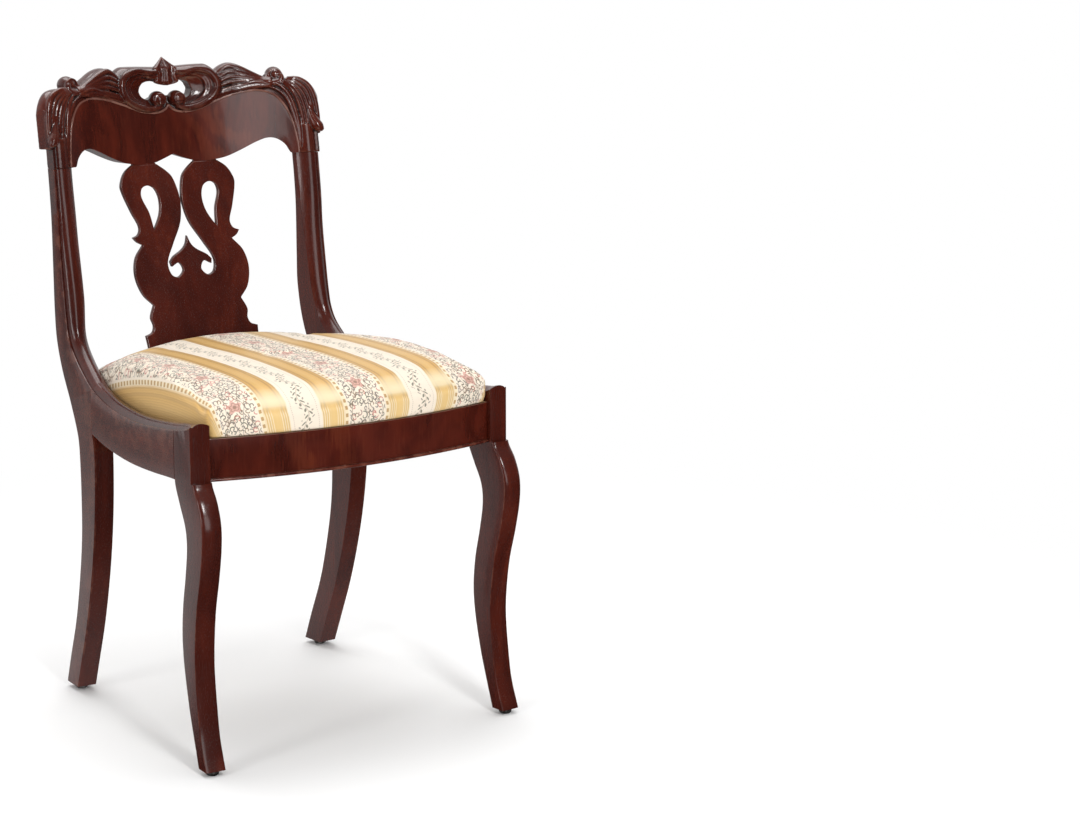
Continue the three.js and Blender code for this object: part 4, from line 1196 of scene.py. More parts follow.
def show(name: str, mesh: bpy.types.Mesh, material: bpy.types.Material, place: Place,
         sharp: float = 38.0) -> bpy.types.Object:
    """Shows a mesh as a piece of the chair.

    Args:
        name: The piece's name.
        mesh: Its mesh, in metres.
        material: Its finish.
        place: Its body and the nodes that it stands for.
        sharp: Edges with a greater turn than this, in degrees, stay sharp.

    Returns:
        The new object.
    """
    mesh.materials.clear()
    mesh.materials.append(material)
    mesh.polygons.foreach_set("use_smooth", [True] * len(mesh.polygons))
    mesh.set_sharp_from_angle(angle=math.radians(sharp))
    made = placed(name, mesh)
    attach(made, place.body)
    if place.nodes:
        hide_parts(*place.nodes)
    LOG.info("%s: %d faces on %s", name, len(mesh.polygons), place.body)
    return made


def dress(nodes: Sequence[str], material: bpy.types.Material) -> None:
    """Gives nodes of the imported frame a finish.

    Args:
        nodes: The nodes' names.
        material: The finish.
    """
    for name in nodes:
        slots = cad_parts[name].data.materials
        slots.clear()
        slots.append(material)
        LOG.info("%s keeps its own shape", name)


HANDS = (("right", False), ("left", True))

# The moulded top's section, and the places across the board where it is cut into facets
MOULDING = Line([(0, 0), (0.03, 0.16), (0.09, 0.16), (0.12, 0.04), (0.2, 0.45), (0.32, 0.78),
                 (0.48, 1), (0.66, 0.92), (0.84, 0.6), (1, 0.1)])
MOULDING_STOPS = np.r_[0, 0.03, 0.06, 0.09, 0.105, 0.12, 0.14, 0.17, 0.2, 0.25, 0.3, 0.36, 0.42,
                       0.48, 0.54, 0.6, 0.66, 0.72, 0.78, 0.84, 0.89, 0.93, 0.97, 1]


@dataclass(frozen=True)
class SideFrames:
    """Front legs, side rails and rear posts, each worked in its side frame's plane."""

    moulding_rise: float = 9.0
    knee_swell: float = 4.0
    foot_sweep: float = 82.0
    seam_lag: float = 24.0
    stile_turn: float = 13.0
    stile_swell: float = 3.5
    arris: float = 1.3
    overrun: float = 3.0
    crest_foot_height: float = 39.0

    leg_front: Rows = ((0, -0.49), (0.1, -0.22), (0.2, -0.09), (0.34, 0.02), (0.44, -0.01),
                       (0.56, -0.15), (0.68, -0.4), (0.79, -0.57), (0.87, -0.57), (0.94, -0.37),
                       (0.985, -0.12), (1, -0.08))
    leg_back: Rows = ((0, -0.035), (0.1, 0.215), (0.2, 0.455), (0.34, 0.695), (0.44, 0.765),
                      (0.55, 0.685), (0.67, 0.475), (0.77, 0.35), (0.84, 0.42), (0.91, 0.71),
                      (0.97, 0.95), (1, 1))
    leg_swell: Rows = ((0, 0.2), (0.4, 0.35), (0.8, 1), (1, 0.9))
    face: Rows = ((0, 0), (0.08, 0.5), (0.25, 0.85), (0.5, 1), (0.75, 0.85), (0.92, 0.5), (1, 0))
    rail_arris: Rows = ((0, 1), (0.035, 0.99), (0.185, 0.97), (0.34, 0.957), (0.5, 0.948),
                        (0.66, 0.948), (0.82, 0.957), (0.95, 0.977))
    rail_lower: Rows = ((0, 0.996), (0.2, 0.99), (0.38, 0.981), (0.56, 0.977), (0.72, 0.982),
                        (0.88, 0.997))
    sabre_front: Rows = ((0, 1), (0.1, 0.81), (0.26, 0.51), (0.43, 0.26), (0.59, 0.085),
                         (0.75, -0.025), (0.92, -0.07), (0.97, -0.035), (1, 0))
    rear_edge: Rows = ((0, 0.942), (0.051, 0.827), (0.137, 0.622), (0.223, 0.481), (0.308, 0.385),
                       (0.394, 0.357), (0.48, 0.369), (0.51, 0.408), (0.565, 0.578), (0.62, 0.779),
                       (0.675, 0.906), (0.73, 0.94), (0.8, 0.943), (0.9, 0.946), (0.96, 0.972),
                       (1, 1))
    stile_front: Rows = ((0, 0), (0.025, 0.129), (0.061, 0.3), (0.1, 0.455), (0.164, 0.648),
                         (0.231, 0.751), (0.302, 0.797), (0.44, 0.853), (0.64, 0.918), (0.8, 0.942),
                         (1, 1))

    def rail_top_line(self) -> Line:
        """Height of the side rail's outer upper arris, along s."""
        rows = [*self.rail_arris, (1, PLAN.seam_top / PLAN.post_top)]
        return Line(rows, PLAN.seam, PLAN.post_top)

    def rail_foot_line(self) -> Line:
        """Height of its lower edge, along s."""
        rows = [*self.rail_lower, (1, PLAN.seam_foot / PLAN.leg_height)]
        return Line(rows, PLAN.seam, PLAN.leg_height)

    def under_moulding(self, start: float, end: float, lower: Callable[[Grid], Grid], count: int,
                       rise: Callable[[Grid], Grid], past: float = 0.0) -> Grid:
        """The space under the moulded top, as sections across the board.

        Args:
            start: Where it starts along s.
            end: Where it ends.
            lower: Its lower line.
            count: How many sections.
            rise: The moulding's rise along s.
            past: How far it reaches past the board's two faces.

        Returns:
            The sections.
        """
        s = np.linspace(start, end, count)[:, None]
        top, foot, thick = self.rail_top_line()(s), lower(s), PLAN.side_thickness
        crown = PLAN.side(s, top + MOULDING(MOULDING_STOPS) * rise(s), MOULDING_STOPS * thick)
        columns = [PLAN.side(s, foot, thick + past), PLAN.side(s, foot, -past)]
        if past:
            columns.append(PLAN.side(s, top, -past))
        columns.append(crown)
        if past:
            columns.append(PLAN.side(s, top + MOULDING(1) * rise(s), thick + past))
        return np.concatenate(columns, 1)

    def moulded(self, rings: Grid) -> Body:
        """Lofts a board whose sections end in the moulding, its outer fillet marked for a painted
        highlight.

        Args:
            rings: The sections, their two inner corners first.

        Returns:
            The board.
        """
        rings, ridge = rounded(rings, {0: self.arris, 1: self.arris})
        # The moulding's outer fillet is marked to be painted pale: a painted highlight.
        ridge[-len(MOULDING_STOPS):] = np.where(MOULDING_STOPS < 0.1, 0.8, 0)
        return Body().loft(rings, ridge)

    def front_leg(self) -> Body:
        """The front leg with its post, before its top is shaped.

        Returns:
            The leg.
        """
        u = np.linspace(0, 1, 110)[:, None]
        z = PLAN.glide_height + u * (PLAN.leg_height - PLAN.glide_height)
        front, back = (Line(rows, 1, PLAN.post_depth)(u)
                       for rows in (self.leg_front, self.leg_back))
        swell = Line(self.leg_swell)(u) * self.knee_swell
        top = np.array([[PLAN.leg_height + PLAN.fit], [PLAN.post_top + self.moulding_rise]])
        z, front = np.concatenate([z, top]), np.concatenate([front, top * 0])
        back = np.concatenate([back, top * 0 + PLAN.post_depth])
        swell = np.concatenate([swell, top * 0 + self.knee_swell / 2])
        a = np.linspace(0, 1, 17)
        thick = PLAN.side_thickness
        rings = np.concatenate([PLAN.side(back, z, thick), PLAN.side(back, z, 0),
                                PLAN.side(front - Line(self.face)(a) * swell, z, a * thick)], 1)
        rings, ridge = rounded(rings, dict.fromkeys((0, 1, 2, 1 + len(a)), self.arris))
        return Body().loft(rings, ridge)

    def post_envelope(self) -> Body:
        """What lies under the moulded top of the front post.

        Returns:
            The space, wider than the board.
        """
        def fade(s: Grid) -> Grid:
            """The moulding's rise, less towards the front."""
            return self.moulding_rise * ease(s, -PLAN.post_depth, PLAN.post_depth)

        def floor(s: Grid) -> Grid:
            """A level line below the foot."""
            return s * 0 + PLAN.glide_height - self.overrun

        end = PLAN.post_depth + self.overrun
        return Body().loft(self.under_moulding(-PLAN.post_depth, end, floor, 24, fade,
                                               self.overrun))

    def side_rail(self) -> Body:
        """The side rail with the half round along its top.

        Returns:
            The rail.
        """
        def rise(s: Grid) -> Grid:
            """The moulding's rise."""
            return s * 0 + self.moulding_rise

        start, end = PLAN.post_depth + PLAN.fit, PLAN.seam - PLAN.fit
        return self.moulded(self.under_moulding(start, end, self.rail_foot_line(), 80, rise))

    def section(self, s: Any, z: Any, back: Grid, back_z: Grid, lift: Any, rise: Any, setback: Any,
                thickness: Any) -> Grid:
        """Sections of the rear post, its front moulded.

        Args:
            s: Front arris along s.
            z: Its height.
            back: Rear edge along s.
            back_z: Its height.
            lift: How much the moulding faces up, as an angle.
            rise: The moulding's rise.
            setback: How far the inner arris is set back.
            thickness: The board's thickness there.

        Returns:
            The sections.
        """
        a, b = MOULDING_STOPS, MOULDING(MOULDING_STOPS)
        front = PLAN.side(s + a * setback - b * rise * np.cos(lift),
                          z + b * rise * np.sin(lift), a * thickness)
        rear = [PLAN.side(back, back_z, t) for t in (thickness, 0)]
        return np.concatenate([*rear, front], 1)

    def rear_post(self) -> Body:
        """The sabre leg and the stile in one piece.

        Returns:
            The post.
        """
        rear = Line(self.rear_edge, 1, PLAN.stile_depth)
        low, high = PLAN.glide_height, PLAN.crest_joint
        thick = PLAN.side_thickness

        def rear_at(z: Grid) -> Grid:
            """The rear edge at a height."""
            return PLAN.seam + rear((z - low) / (high - low))

        u = np.linspace(0, 1, 70)[:, None]
        z = low + u * (PLAN.seam_foot - low)
        sabre = PLAN.seam + Line(self.sabre_front, 1, self.foot_sweep)(u)
        leg = self.section(sabre, z, rear_at(z), z, 0, 0, 0, thick)
        u = np.linspace(0.08, 0.97, 8)[:, None]
        z = PLAN.seam_foot + u * (PLAN.seam_top - PLAN.seam_foot)
        back = PLAN.seam_foot + u * (PLAN.seam_top - self.seam_lag - PLAN.seam_foot)
        seam = self.section(PLAN.seam + u * 0, z, rear_at(back), back, 0, 0, 0, thick)
        u = (np.linspace(0, 1, 80)[:, None]) ** 1.5
        front = Line(self.stile_front, 1, PLAN.stile_sweep)
        z = PLAN.seam_top + u * PLAN.stile_height
        near = 0.004
        slope = (front(u + near) - front(u - near)) / (2 * near * PLAN.stile_height)
        lift = math.pi / 2 + (np.arctan(slope) - math.pi / 2) * ease(u, 0, 0.1)
        back = z - self.seam_lag * (1 - u) ** 6
        stile = self.section(PLAN.seam + front(u), z, rear_at(back), back, lift, self.moulding_rise,
                             self.stile_turn * ease(u, 0.35, 1),
                             thick + self.stile_swell * ease(u, 0.18, 0.4))
        return self.moulded(np.concatenate([leg, seam, stile]))

    def crest_foot(self) -> Grid:
        """The foot of the crest, in line with the stile.

        Returns:
            Its sections.
        """
        up = np.array([[PLAN.fit], [20.0], [self.crest_foot_height]])
        z = PLAN.crest_joint + up
        s = PLAN.seam + PLAN.stile_sweep + Crest().lean * (z - PLAN.crest_joint)
        back = s + PLAN.stile_depth - PLAN.stile_sweep
        return self.section(s, z, back, z, 0, self.moulding_rise, self.stile_turn,
                            PLAN.side_thickness + self.stile_swell)

    def build(self) -> None:
        """Makes both side frames and dresses them."""
        for n, (hand, mirrored) in enumerate(HANDS):
            leg = with_boolean(self.front_leg().mesh("leg", mirrored),
                               self.post_envelope().mesh("top", mirrored), "INTERSECT")
            for name, node, mesh, grain, seed in (
                    ("carved_leg", "front_leg", leg, Grain.UP, 1.3),
                    ("moulded_rail", "side_rail", self.side_rail().mesh("rail", mirrored),
                     Grain.BACK, 1.3),
                    ("sabre_post", "rear_post", self.rear_post().mesh("post", mirrored),
                     Grain.UP, 6.1)):
                wood = Mahogany(f"mahogany_{name.split('_')[1]}_{hand}", grain, seed + n)
                show(f"{name}_{hand}", mesh, wood.material(),
                     Place("mahogany", nodes=(f"{node}_{hand}",)))


@dataclass(frozen=True)
class FrontRail:
    """The bowed front rail's veneer and its cock bead."""

    height: float = 53.0
    bow: float = 30.0
    setting: float = 4.0
    veneer: float = 1.5
    bead_proud: float = 2.5
    bead_height: float = 4.0

    def bow_at(self, x: Any) -> Grid:
        """The rail's face along s, x from the middle."""
        half = PLAN.front_width / 2 - PLAN.side_thickness
        return self.setting - self.bow * (1 - (np.asarray(x) / half) ** 2)

    def bent(self, section: Rows, corners: dict[int, float]) -> Body:
        """A strip that follows the bow and ends at the posts.

        Args:
            section: Its section, as depth behind the face and height.
            corners: Radii for the section's corners.

        Returns:
            The strip.
        """
        table = np.asarray(section, float)
        share = np.linspace(-1, 1, 90)[:, None]
        x = share * (PLAN.inner_at(self.setting + table[:, 0]) - PLAN.fit)
        rings, ridge = rounded(stack(x, self.bow_at(x) + table[:, 0], table[:, 1]), corners)
        return Body().loft(rings, ridge)

    def build(self) -> None:
        """Makes the veneer and the bead."""
        low, top = PLAN.rail_top - self.height, PLAN.rail_top
        foot = low + self.bead_height + PLAN.fit
        veneer = self.bent([(0, foot), (self.veneer, foot), (self.veneer, top), (0, top)],
                           {0: 0.4, 3: 0.7})
        flame = CrotchVeneer("rail_flame", seed=4.3, flame_at=-0.06, flame_lean=0.3,
                             stretch=1.8, coarse=0.45)
        show("rail_veneer", veneer.mesh("veneer"), flame.material(),
             Place("figured_veneer", nodes=("front_rail_veneer",)))
        nose = [(-self.bead_proud * math.cos(a),
                 low + self.bead_height * (0.5 + 0.5 * math.sin(a)))
                for a in np.linspace(-math.pi / 2, math.pi / 2, 11)]
        bead = self.bent([*nose, (self.veneer, low + self.bead_height), (self.veneer, low)], {})
        mesh = bead.mesh("bead")
        # The whole bead is marked to be painted pale: wear, and a painted highlight along it.
        write_values(mesh, "ridge", np.ones(len(mesh.vertices)))
        show("rail_bead", mesh, Mahogany("mahogany_bead", Grain.ACROSS, 9.2, wear_and_highlight_share=0.45).material(),
             Place("mahogany", nodes=("front_rail_bead",)))


@dataclass(frozen=True)
class RearRail:
    """The plain rear rail, its front leaning with the posts."""

    height: float = 48.0
    foot: float = 30.0
    head: float = 39.0
    arris: float = 1.2

    def build(self) -> None:
        """Makes the rail."""
        low, top = PLAN.rail_top - self.height, PLAN.rail_top
        front, rise = PLAN.seam + PLAN.rear_rail_set, PLAN.rear_corner
        s = np.array([front, front + self.foot, rise + self.head, rise])
        x = np.linspace(-1, 1, 12)[:, None] * (PLAN.inner_at(s) - PLAN.fit)
        rings, ridge = rounded(stack(x, s, (low, low, top, top)),
                               dict.fromkeys(range(4), self.arris))
        show("back_rail", Body().loft(rings, ridge).mesh("rail"),
             Mahogany("mahogany_back_rail", Grain.ACROSS, 12.4).material(),
             Place("mahogany", nodes=("rear_rail",)))


@dataclass(frozen=True)
class Splat:
    """The pierced board of two swan-neck scrolls and a finial between them."""

    thickness: float = 6.5
    rise: float = 60.0
    head_drop: float = 7.0
    half_width: float = 86.5
    foot_share: float = 0.925
    edge: float = 0.9
    tongue: tuple[float, float] = (0.34, 0.735)
    foot: Rows = ((0.983, 0), (0.867, 0.017), (0.827, 0.052), (0.85, 0.103), (0.769, 0.173))
    body: tuple[Rows, ...] = (((0.769, 0.173), (0.925, 0.242), (1, 0.35), (0.948, 0.453),
                               (0.786, 0.529)), ((0.786, 0.529), (0.879, 0.549), (0.936, 0.576)))
    head: tuple[Rows, ...] = (((0.936, 0.576), (0.832, 0.594), (0.798, 0.637), (0.89, 0.726),
                               (0.999, 0.865), (0.963, 0.919), (0.884, 0.964), (0.751, 1)),
                              ((0.751, 1), (0.324, 1)))
    throat: tuple[Rows, ...] = (((0.324, 1), (0.185, 0.96), (0.092, 0.919), (0.029, 0.834),
                                 (0.017, 0.758), (0.081, 0.646), (0.272, 0.518), (0.408, 0.417),
                                 (0.375, 0.345), (0.26, 0.326), (0.156, 0.365), (0.22, 0.41),
                                 (0.347, 0.39)), ((0.347, 0.39), (0.364, 0.419)),
                                ((0.364, 0.419), (0.289, 0.448), (0.127, 0.484), (0.046, 0.516),
                                 (0, 0.565)))
    drop: Rows = ((0.549, 0.614), (0.587, 0.717), (0.676, 0.812), (0.65, 0.86), (0.549, 0.877),
                  (0.437, 0.859), (0.38, 0.812), (0.375, 0.758), (0.41, 0.702), (0.486, 0.648),
                  (0.549, 0.614))

    def outlines(self) -> list[Grid]:
        """The outer outline and the two drops.

        Returns:
            Each one's places, as x and height.
        """
        seat, head = PLAN.rail_top + self.rise, PLAN.crest_joint - self.head_drop
        runs = [self.foot, *self.body, *self.head, *self.throat]
        right = traced(runs, self.half_width, head - seat, 8) + (0, seat)
        right = np.concatenate([[(self.foot_share * self.half_width, PLAN.rail_top + PLAN.fit)],
                                right])
        tip = [(0, seat + self.throat[-1][-1][1] * (head - seat))]
        drop = traced([self.drop], self.half_width, head - seat, 8) + (0, seat)
        return [np.concatenate([right, tip, right[::-1] * (-1, 1)]), drop, drop * (-1, 1)]

    def tongues(self, lean: float) -> bpy.types.Mesh:
        """The short tongues by which the heads enter the crest rail.

        Args:
            lean: How far back the splat leans on each millimetre of height.

        Returns:
            Their mesh.
        """
        body = Body()
        top = PLAN.crest_joint - self.head_drop
        z = np.array([top - 4, top - 4, top + 1.6, top + 1.6])
        depth = np.array([0.6, self.thickness, self.thickness, 0.6])
        near, far = (share * self.half_width for share in self.tongue)
        for sign in SIDES:
            x = np.linspace(near, far, 12)[:, None] * sign
            body.loft(stack(x, PLAN.splat_reach + lean * (z - PLAN.rail_top) + depth, z))
        return body.mesh("tongues")

    def build(self) -> None:
        """Makes the board, its arrises eased, and leans it back."""
        curve = bpy.data.curves.new("splat", "CURVE")
        curve.dimensions = "2D"
        curve.fill_mode = "BOTH"
        curve.extrude = (self.thickness / 2 - self.edge) * MM
        curve.bevel_depth = self.edge * MM
        curve.bevel_resolution = 2
        curve.offset = -self.edge * MM
        for outline in self.outlines():
            spline = curve.splines.new("POLY")
            spline.points.add(len(outline) - 1)
            flat = np.c_[outline * MM, np.zeros(len(outline)), np.ones(len(outline))]
            spline.points.foreach_set("co", flat.ravel())
            spline.use_cyclic_u = True
        holder = placed("holder", curve)
        mesh = as_shown(holder)
        bpy.data.objects.remove(holder)
        flat = read_points(mesh) / MM
        reach = PLAN.crest_reach - PLAN.splat_proud - PLAN.splat_reach
        lean = reach / (PLAN.crest_joint - PLAN.rail_top)
        depth = self.thickness / 2 - flat[:, 2]
        s = PLAN.splat_reach + lean * (flat[:, 1] - PLAN.rail_top) + depth
        mesh.vertices.foreach_set("co", PLAN.metres(stack(flat[:, 0], s, flat[:, 1])).ravel())
        mesh.update()
        arris = np.abs(np.abs(flat[:, 2]) - self.thickness / 2 + self.edge / 2)
        write_values(mesh, "ridge", arris < self.edge * 0.45)
        made = bmesh.new()
        made.from_mesh(mesh)
        made.from_mesh(self.tongues(lean))
        made.to_mesh(mesh)
        made.free()
        show("swan_splat", mesh, Mahogany("mahogany_splat", Grain.UP, 15.8).material(),
             Place("mahogany", nodes=("splat",)), 30)


@dataclass(frozen=True)
class Ribs:
    """A run of carved ribs side by side, spread between two guide lines."""

    outer: Rows
    inner: Rows
    places: tuple[float, ...]
    radii: tuple[float, ...]
    depths: tuple[float, ...]
    taper: float = 0.45


@dataclass(frozen=True)
class Crest:
    """The hollow crest rail with its pierced scrolls, fluted humps, knobs, ears and leaf peak."""

    thickness: float = 26.0
    lean: float = 0.15
    end: float = 199.5
    ear_width: float = 24.5
    lobe: float = 12.0
    panel: float = 87.7
    rise: float = 121.0
    peak: float = 14.0
    ear_lift: float = 26.0
    ear_round: float = 7.0
    ear_turn: float = 0.86
    flare: float = 5.0
    knob: float = 11.0
    knob_at: tuple[float, float, float] = (150.5, 0.87, 16.0)
    scroll: float = 10.5
    scroll_at: tuple[float, float, float] = (14.0, 0.65, 5.2)
    opening_half: float = 40.0
    opening_height: float = 25.0
    opening_foot: float = 78.0
    ground: float = 1.5
    veneer: float = 1.5
    cove: float = 5.5
    cove_half: float = 75.0
    head_round: float = 7.0
    roll: float = 0.8
    grain: float = 1.0
    panel_foot: Rows = ((0, 0.42), (0.07, 0.03), (0.17, -0.43), (0.28, -0.53), (0.36, -0.43),
                        (0.45, -0.15), (0.56, 0.5), (0.68, 1.33), (0.76, 1.75), (0.82, 1.73),
                        (0.87, 1.33), (0.905, 0.75), (0.925, 0.1), (0.935, 0.025), (0.97, 0.025),
                        (1, 0.025))
    panel_head: Rows = ((0, 0.82), (0.03, 0.76), (0.09, 0.715), (0.17, 0.715), (0.26, 0.75),
                        (0.345, 0.815), (0.43, 0.875), (0.55, 0.95), (0.7, 1), (0.775, 0.985),
                        (0.835, 0.94), (0.88, 0.865), (0.92, 0.75), (0.955, 0.58), (0.978, 0.38),
                        (0.992, 0.16), (1, 0.08))
    head: Rows = ((0, 1), (0.3, 1.02), (0.34, 0.99), (0.37, 0.955), (0.4, 0.985), (0.43, 1.01),
                  (0.465, 1.024), (0.505, 1.015), (0.55, 0.985), (0.61, 0.925), (0.69, 0.85),
                  (0.76, 0.825), (0.85, 0.845), (0.92, 0.83), (0.955, 0.79), (0.985, 0.715),
                  (1, 0.64))
    opening: tuple[Rows, ...] = (((1, 0.5), (0.9, 0.16), (0.62, 0), (0.4, 0.12), (0, 0.2)),
                                 ((0, 0.2), (-0.4, 0.12), (-0.62, 0), (-0.9, 0.16), (-1, 0.5),
                                  (-0.86, 0.88), (-0.55, 1), (0, 0.86), (0.55, 1), (0.86, 0.88),
                                  (1, 0.5)))
    scrolls: Ribs = Ribs(((0.075, 0.955), (0.14, 0.95), (0.24, 0.972), (0.325, 0.925), (0.365, 0.8),
                          (0.335, 0.675), (0.25, 0.583), (0.15, 0.545), (0.08, 0.565),
                          (0.05, 0.62)), ((0.05, 0.88), (0.13, 0.875), (0.2, 0.87), (0.24, 0.8),
                                          (0.235, 0.715), (0.19, 0.645), (0.13, 0.605),
                                          (0.09, 0.595), (0.07, 0.61), (0.05, 0.64)),
                         (0.0, 0.30, 0.46, 0.62), (5.6, 2.3, 1.9, 1.7), (-1.4, -0.3, 0.2, 0.8))
    humps: Ribs = Ribs(((0.375, 0.90), (0.415, 0.955), (0.46, 0.985), (0.52, 0.96), (0.61, 0.885),
                        (0.68, 0.835), (0.73, 0.83)), ((0.36, 0.70), (0.42, 0.735), (0.49, 0.765),
                                                       (0.56, 0.785), (0.63, 0.79), (0.69, 0.795),
                                                       (0.735, 0.81)), (0.0, 0.26, 0.5, 0.74, 1.0),
                       (5.2, 3.9, 3.3, 3.1, 2.7), (3.4, 0.8, -0.6, -1.2, -1.4))
    leaves: Ribs = Ribs(((0.27, 0.60), (0.35, 0.665), (0.44, 0.715), (0.54, 0.75), (0.63, 0.765),
                         (0.71, 0.77)), ((0.24, 0.565), (0.34, 0.63), (0.43, 0.68), (0.54, 0.72),
                                         (0.65, 0.745), (0.73, 0.755)), (0.0, 0.8), (2.4, 2.6),
                        (-1.6, -0.6))
    sprigs: Ribs = Ribs(((0.73, 0.775), (0.68, 0.80), (0.62, 0.81), (0.56, 0.785), (0.50, 0.745)),
                        ((0.73, 0.765), (0.68, 0.765), (0.62, 0.765), (0.55, 0.745), (0.46, 0.705)),
                        (0.0, 1.0), (2.6, 3.0), (-2.6, -2.0), 0.1)
    borders: Ribs = Ribs(((0.735, 0.80), (0.79, 0.755), (0.835, 0.65), (0.862, 0.5), (0.88, 0.3),
                          (0.885, 0.1)), ((0.71, 0.755), (0.775, 0.705), (0.822, 0.60),
                                          (0.849, 0.44), (0.868, 0.26), (0.876, 0.06)), (0.0, 1.0),
                         (3.0, 2.3), (0.2, -0.4))
    ears: Ribs = Ribs(((0.83, 0.845), (0.90, 0.83), (0.955, 0.75), (0.983, 0.6), (0.992, 0.44),
                       (0.996, 0.30)), ((0.80, 0.80), (0.85, 0.72), (0.885, 0.59), (0.902, 0.44),
                                        (0.910, 0.30), (0.912, 0.20)), (0.0, 0.26, 0.5, 0.74, 1.0),
                      (4.4, 2.8, 2.5, 2.5, 2.6), (2.6, 0.6, -0.2, -0.4, 0.2))
    peak_wide: Rows = ((-24, 3), (-22, 13), (-19, 19), (-15, 17), (-9, 15.5), (-3, 17), (0, 17.5),
                       (4, 12), (8, 7), (11.5, 3.2), (14, 0.8))
    peak_deep: Rows = ((-24, 0.8), (-18, 1), (-6, 1), (0, 0.92), (4, 0.7), (8, 0.45), (11.5, 0.25),
                       (14, 0.12))
    peak_section: Rows = ((-1, 2.5), (-0.94, -1.6), (-0.8, -3.0), (-0.5, -0.6), (-0.24, -1.8),
                          (-0.07, -6.2), (0, -7.2), (0.07, -6.2), (0.24, -1.8), (0.5, -0.6),
                          (0.8, -3.0), (0.94, -1.6), (1, 2.5), (0.6, 15), (0, 18), (-0.6, 15))

    def at(self, x: Any, z: Any, w: Any) -> Grid:
        """Places on the crest.

        Args:
            x: How far along it they lie, from the middle.
            z: Their height.
            w: How far behind its hollow front they lie.

        Returns:
            The places in the chair.
        """
        x, z, w = np.broadcast_arrays(*[np.asarray(v, float) for v in (x, z, w)])
        turn = np.arcsin(np.clip(x / PLAN.crest_radius, -1, 1))
        round_it = PLAN.crest_radius + w
        depth = PLAN.crest_reach - PLAN.crest_radius + round_it * np.cos(turn)
        return stack(round_it * np.sin(turn), depth + self.lean * (z - PLAN.crest_joint), z)

    def half_line(self, rows: Rows, length: float, height: float) -> Callable[[Grid], Grid]:
        """A line that is the same on both sides of the middle, as heights along the crest."""
        line = Line(rows, length, height)
        return lambda x: PLAN.crest_joint + line(np.abs(x))

    def back_at(self, x: Any) -> Grid:
        """How far the ears' front turns back."""
        return self.ear_round * ease(np.abs(x) / self.end, self.ear_turn, 1)

    def board(self) -> Body:
        """The carved board before its opening is cut.

        Returns:
            The board.
        """
        x = np.linspace(-self.end, self.end, 321)[:, None]
        span = self.end - self.ear_width
        foot = self.half_line(self.panel_foot, span, self.lobe)(np.minimum(np.abs(x), span))
        top = self.half_line(self.head, self.end, self.rise)(x)
        panel_top = np.where(np.abs(x) < span, self.half_line(self.panel_head, span, self.panel)(x),
                             foot + PLAN.fit)
        back, ground = self.back_at(x), self.veneer + PLAN.fit
        a = np.linspace(0.03, 0.94, 22)
        middle = PLAN.crest_joint + self.opening_foot + self.opening_height / 2
        height = panel_top + (top - panel_top) * a - a * back
        near = np.hypot(x / self.opening_half, (height - middle) / (self.opening_height * 0.62))
        cove = self.cove * ease(near, 1.7, 0.95) * (np.abs(x) < self.cove_half)
        front = back + self.ground + cove
        turn = np.linspace(0, math.pi, 15)
        middle_w = (self.thickness + back + self.ground) / 2
        half_w = (self.thickness - back - self.ground) / 2
        drop = np.minimum(self.head_round, (top - panel_top) / 4) + back / 2
        rings = [self.at(x, foot, self.thickness), self.at(x, foot, ground + back),
                 self.at(x, panel_top, ground + back), self.at(x, np.minimum(height, top - drop),
                                                               front),
                 self.at(x, top - drop * (1 - np.sin(turn) ** 0.8),
                         middle_w - half_w * np.cos(turn))]
        return Body().loft(np.concatenate(rings, 1))

    def along(self, guide: Rows, count: int = 60) -> Grid:
        """A guide line's places, as x along the crest and height."""
        flat = curve_through(np.asarray(guide, float) * (self.end, self.rise), count)
        return flat + (0, PLAN.crest_joint)

    def ribs(self, body: Body, run: Ribs) -> None:
        """Adds a run of ribs on both sides.

        Args:
            body: What they are added to.
            run: The ribs.
        """
        outer, inner = self.along(run.outer), self.along(run.inner)
        u = np.linspace(0, 1, len(outer))
        full = np.sqrt(np.clip(np.sin(math.pi * np.clip(u, 0.02, 0.98)), 0, 1))
        swell = run.taper + (1 - run.taper) * full
        for place, radius, depth in zip(run.places, run.radii, run.depths):
            path = outer + (inner - outer) * place
            middle = self.at(path[:, 0], path[:, 1], depth + self.back_at(path[:, 0]))
            body.pair(middle, radius * swell)

    def rolled(self, body: Body, place: tuple[float, float, float], radius: float,
               deep: float, eye: float) -> None:
        """Adds a rolled end on both sides: a ball with a spiral round its face.

        Args:
            body: What they are added to.
            place: x along the crest, a share of its rise, and the depth behind its front.
            radius: The ball's radius.
            deep: Its depth from front to back, as a share of that.
            eye: The spiral's radius where it is thickest.
        """
        x, share, w = place
        z = PLAN.crest_joint + share * self.rise
        turn = np.linspace(-0.6 * math.pi, 1.7 * math.pi, 60)
        u = np.linspace(0, 1, 60)
        reach = radius * (0.93 - 0.5 * u)
        ahead = w - np.sqrt(np.clip(radius ** 2 - reach ** 2, 0, None)) * deep - 0.3
        line = self.at(x + reach * np.cos(turn), z + reach * np.sin(turn), ahead)
        size = eye * (1 - 0.45 * u)
        for sign in SIDES:
            body.ball(self.at(x, z, w) * (sign, 1, 1), (radius, radius * deep, radius))
            body.strand(line * (sign, 1, 1), size, 8)

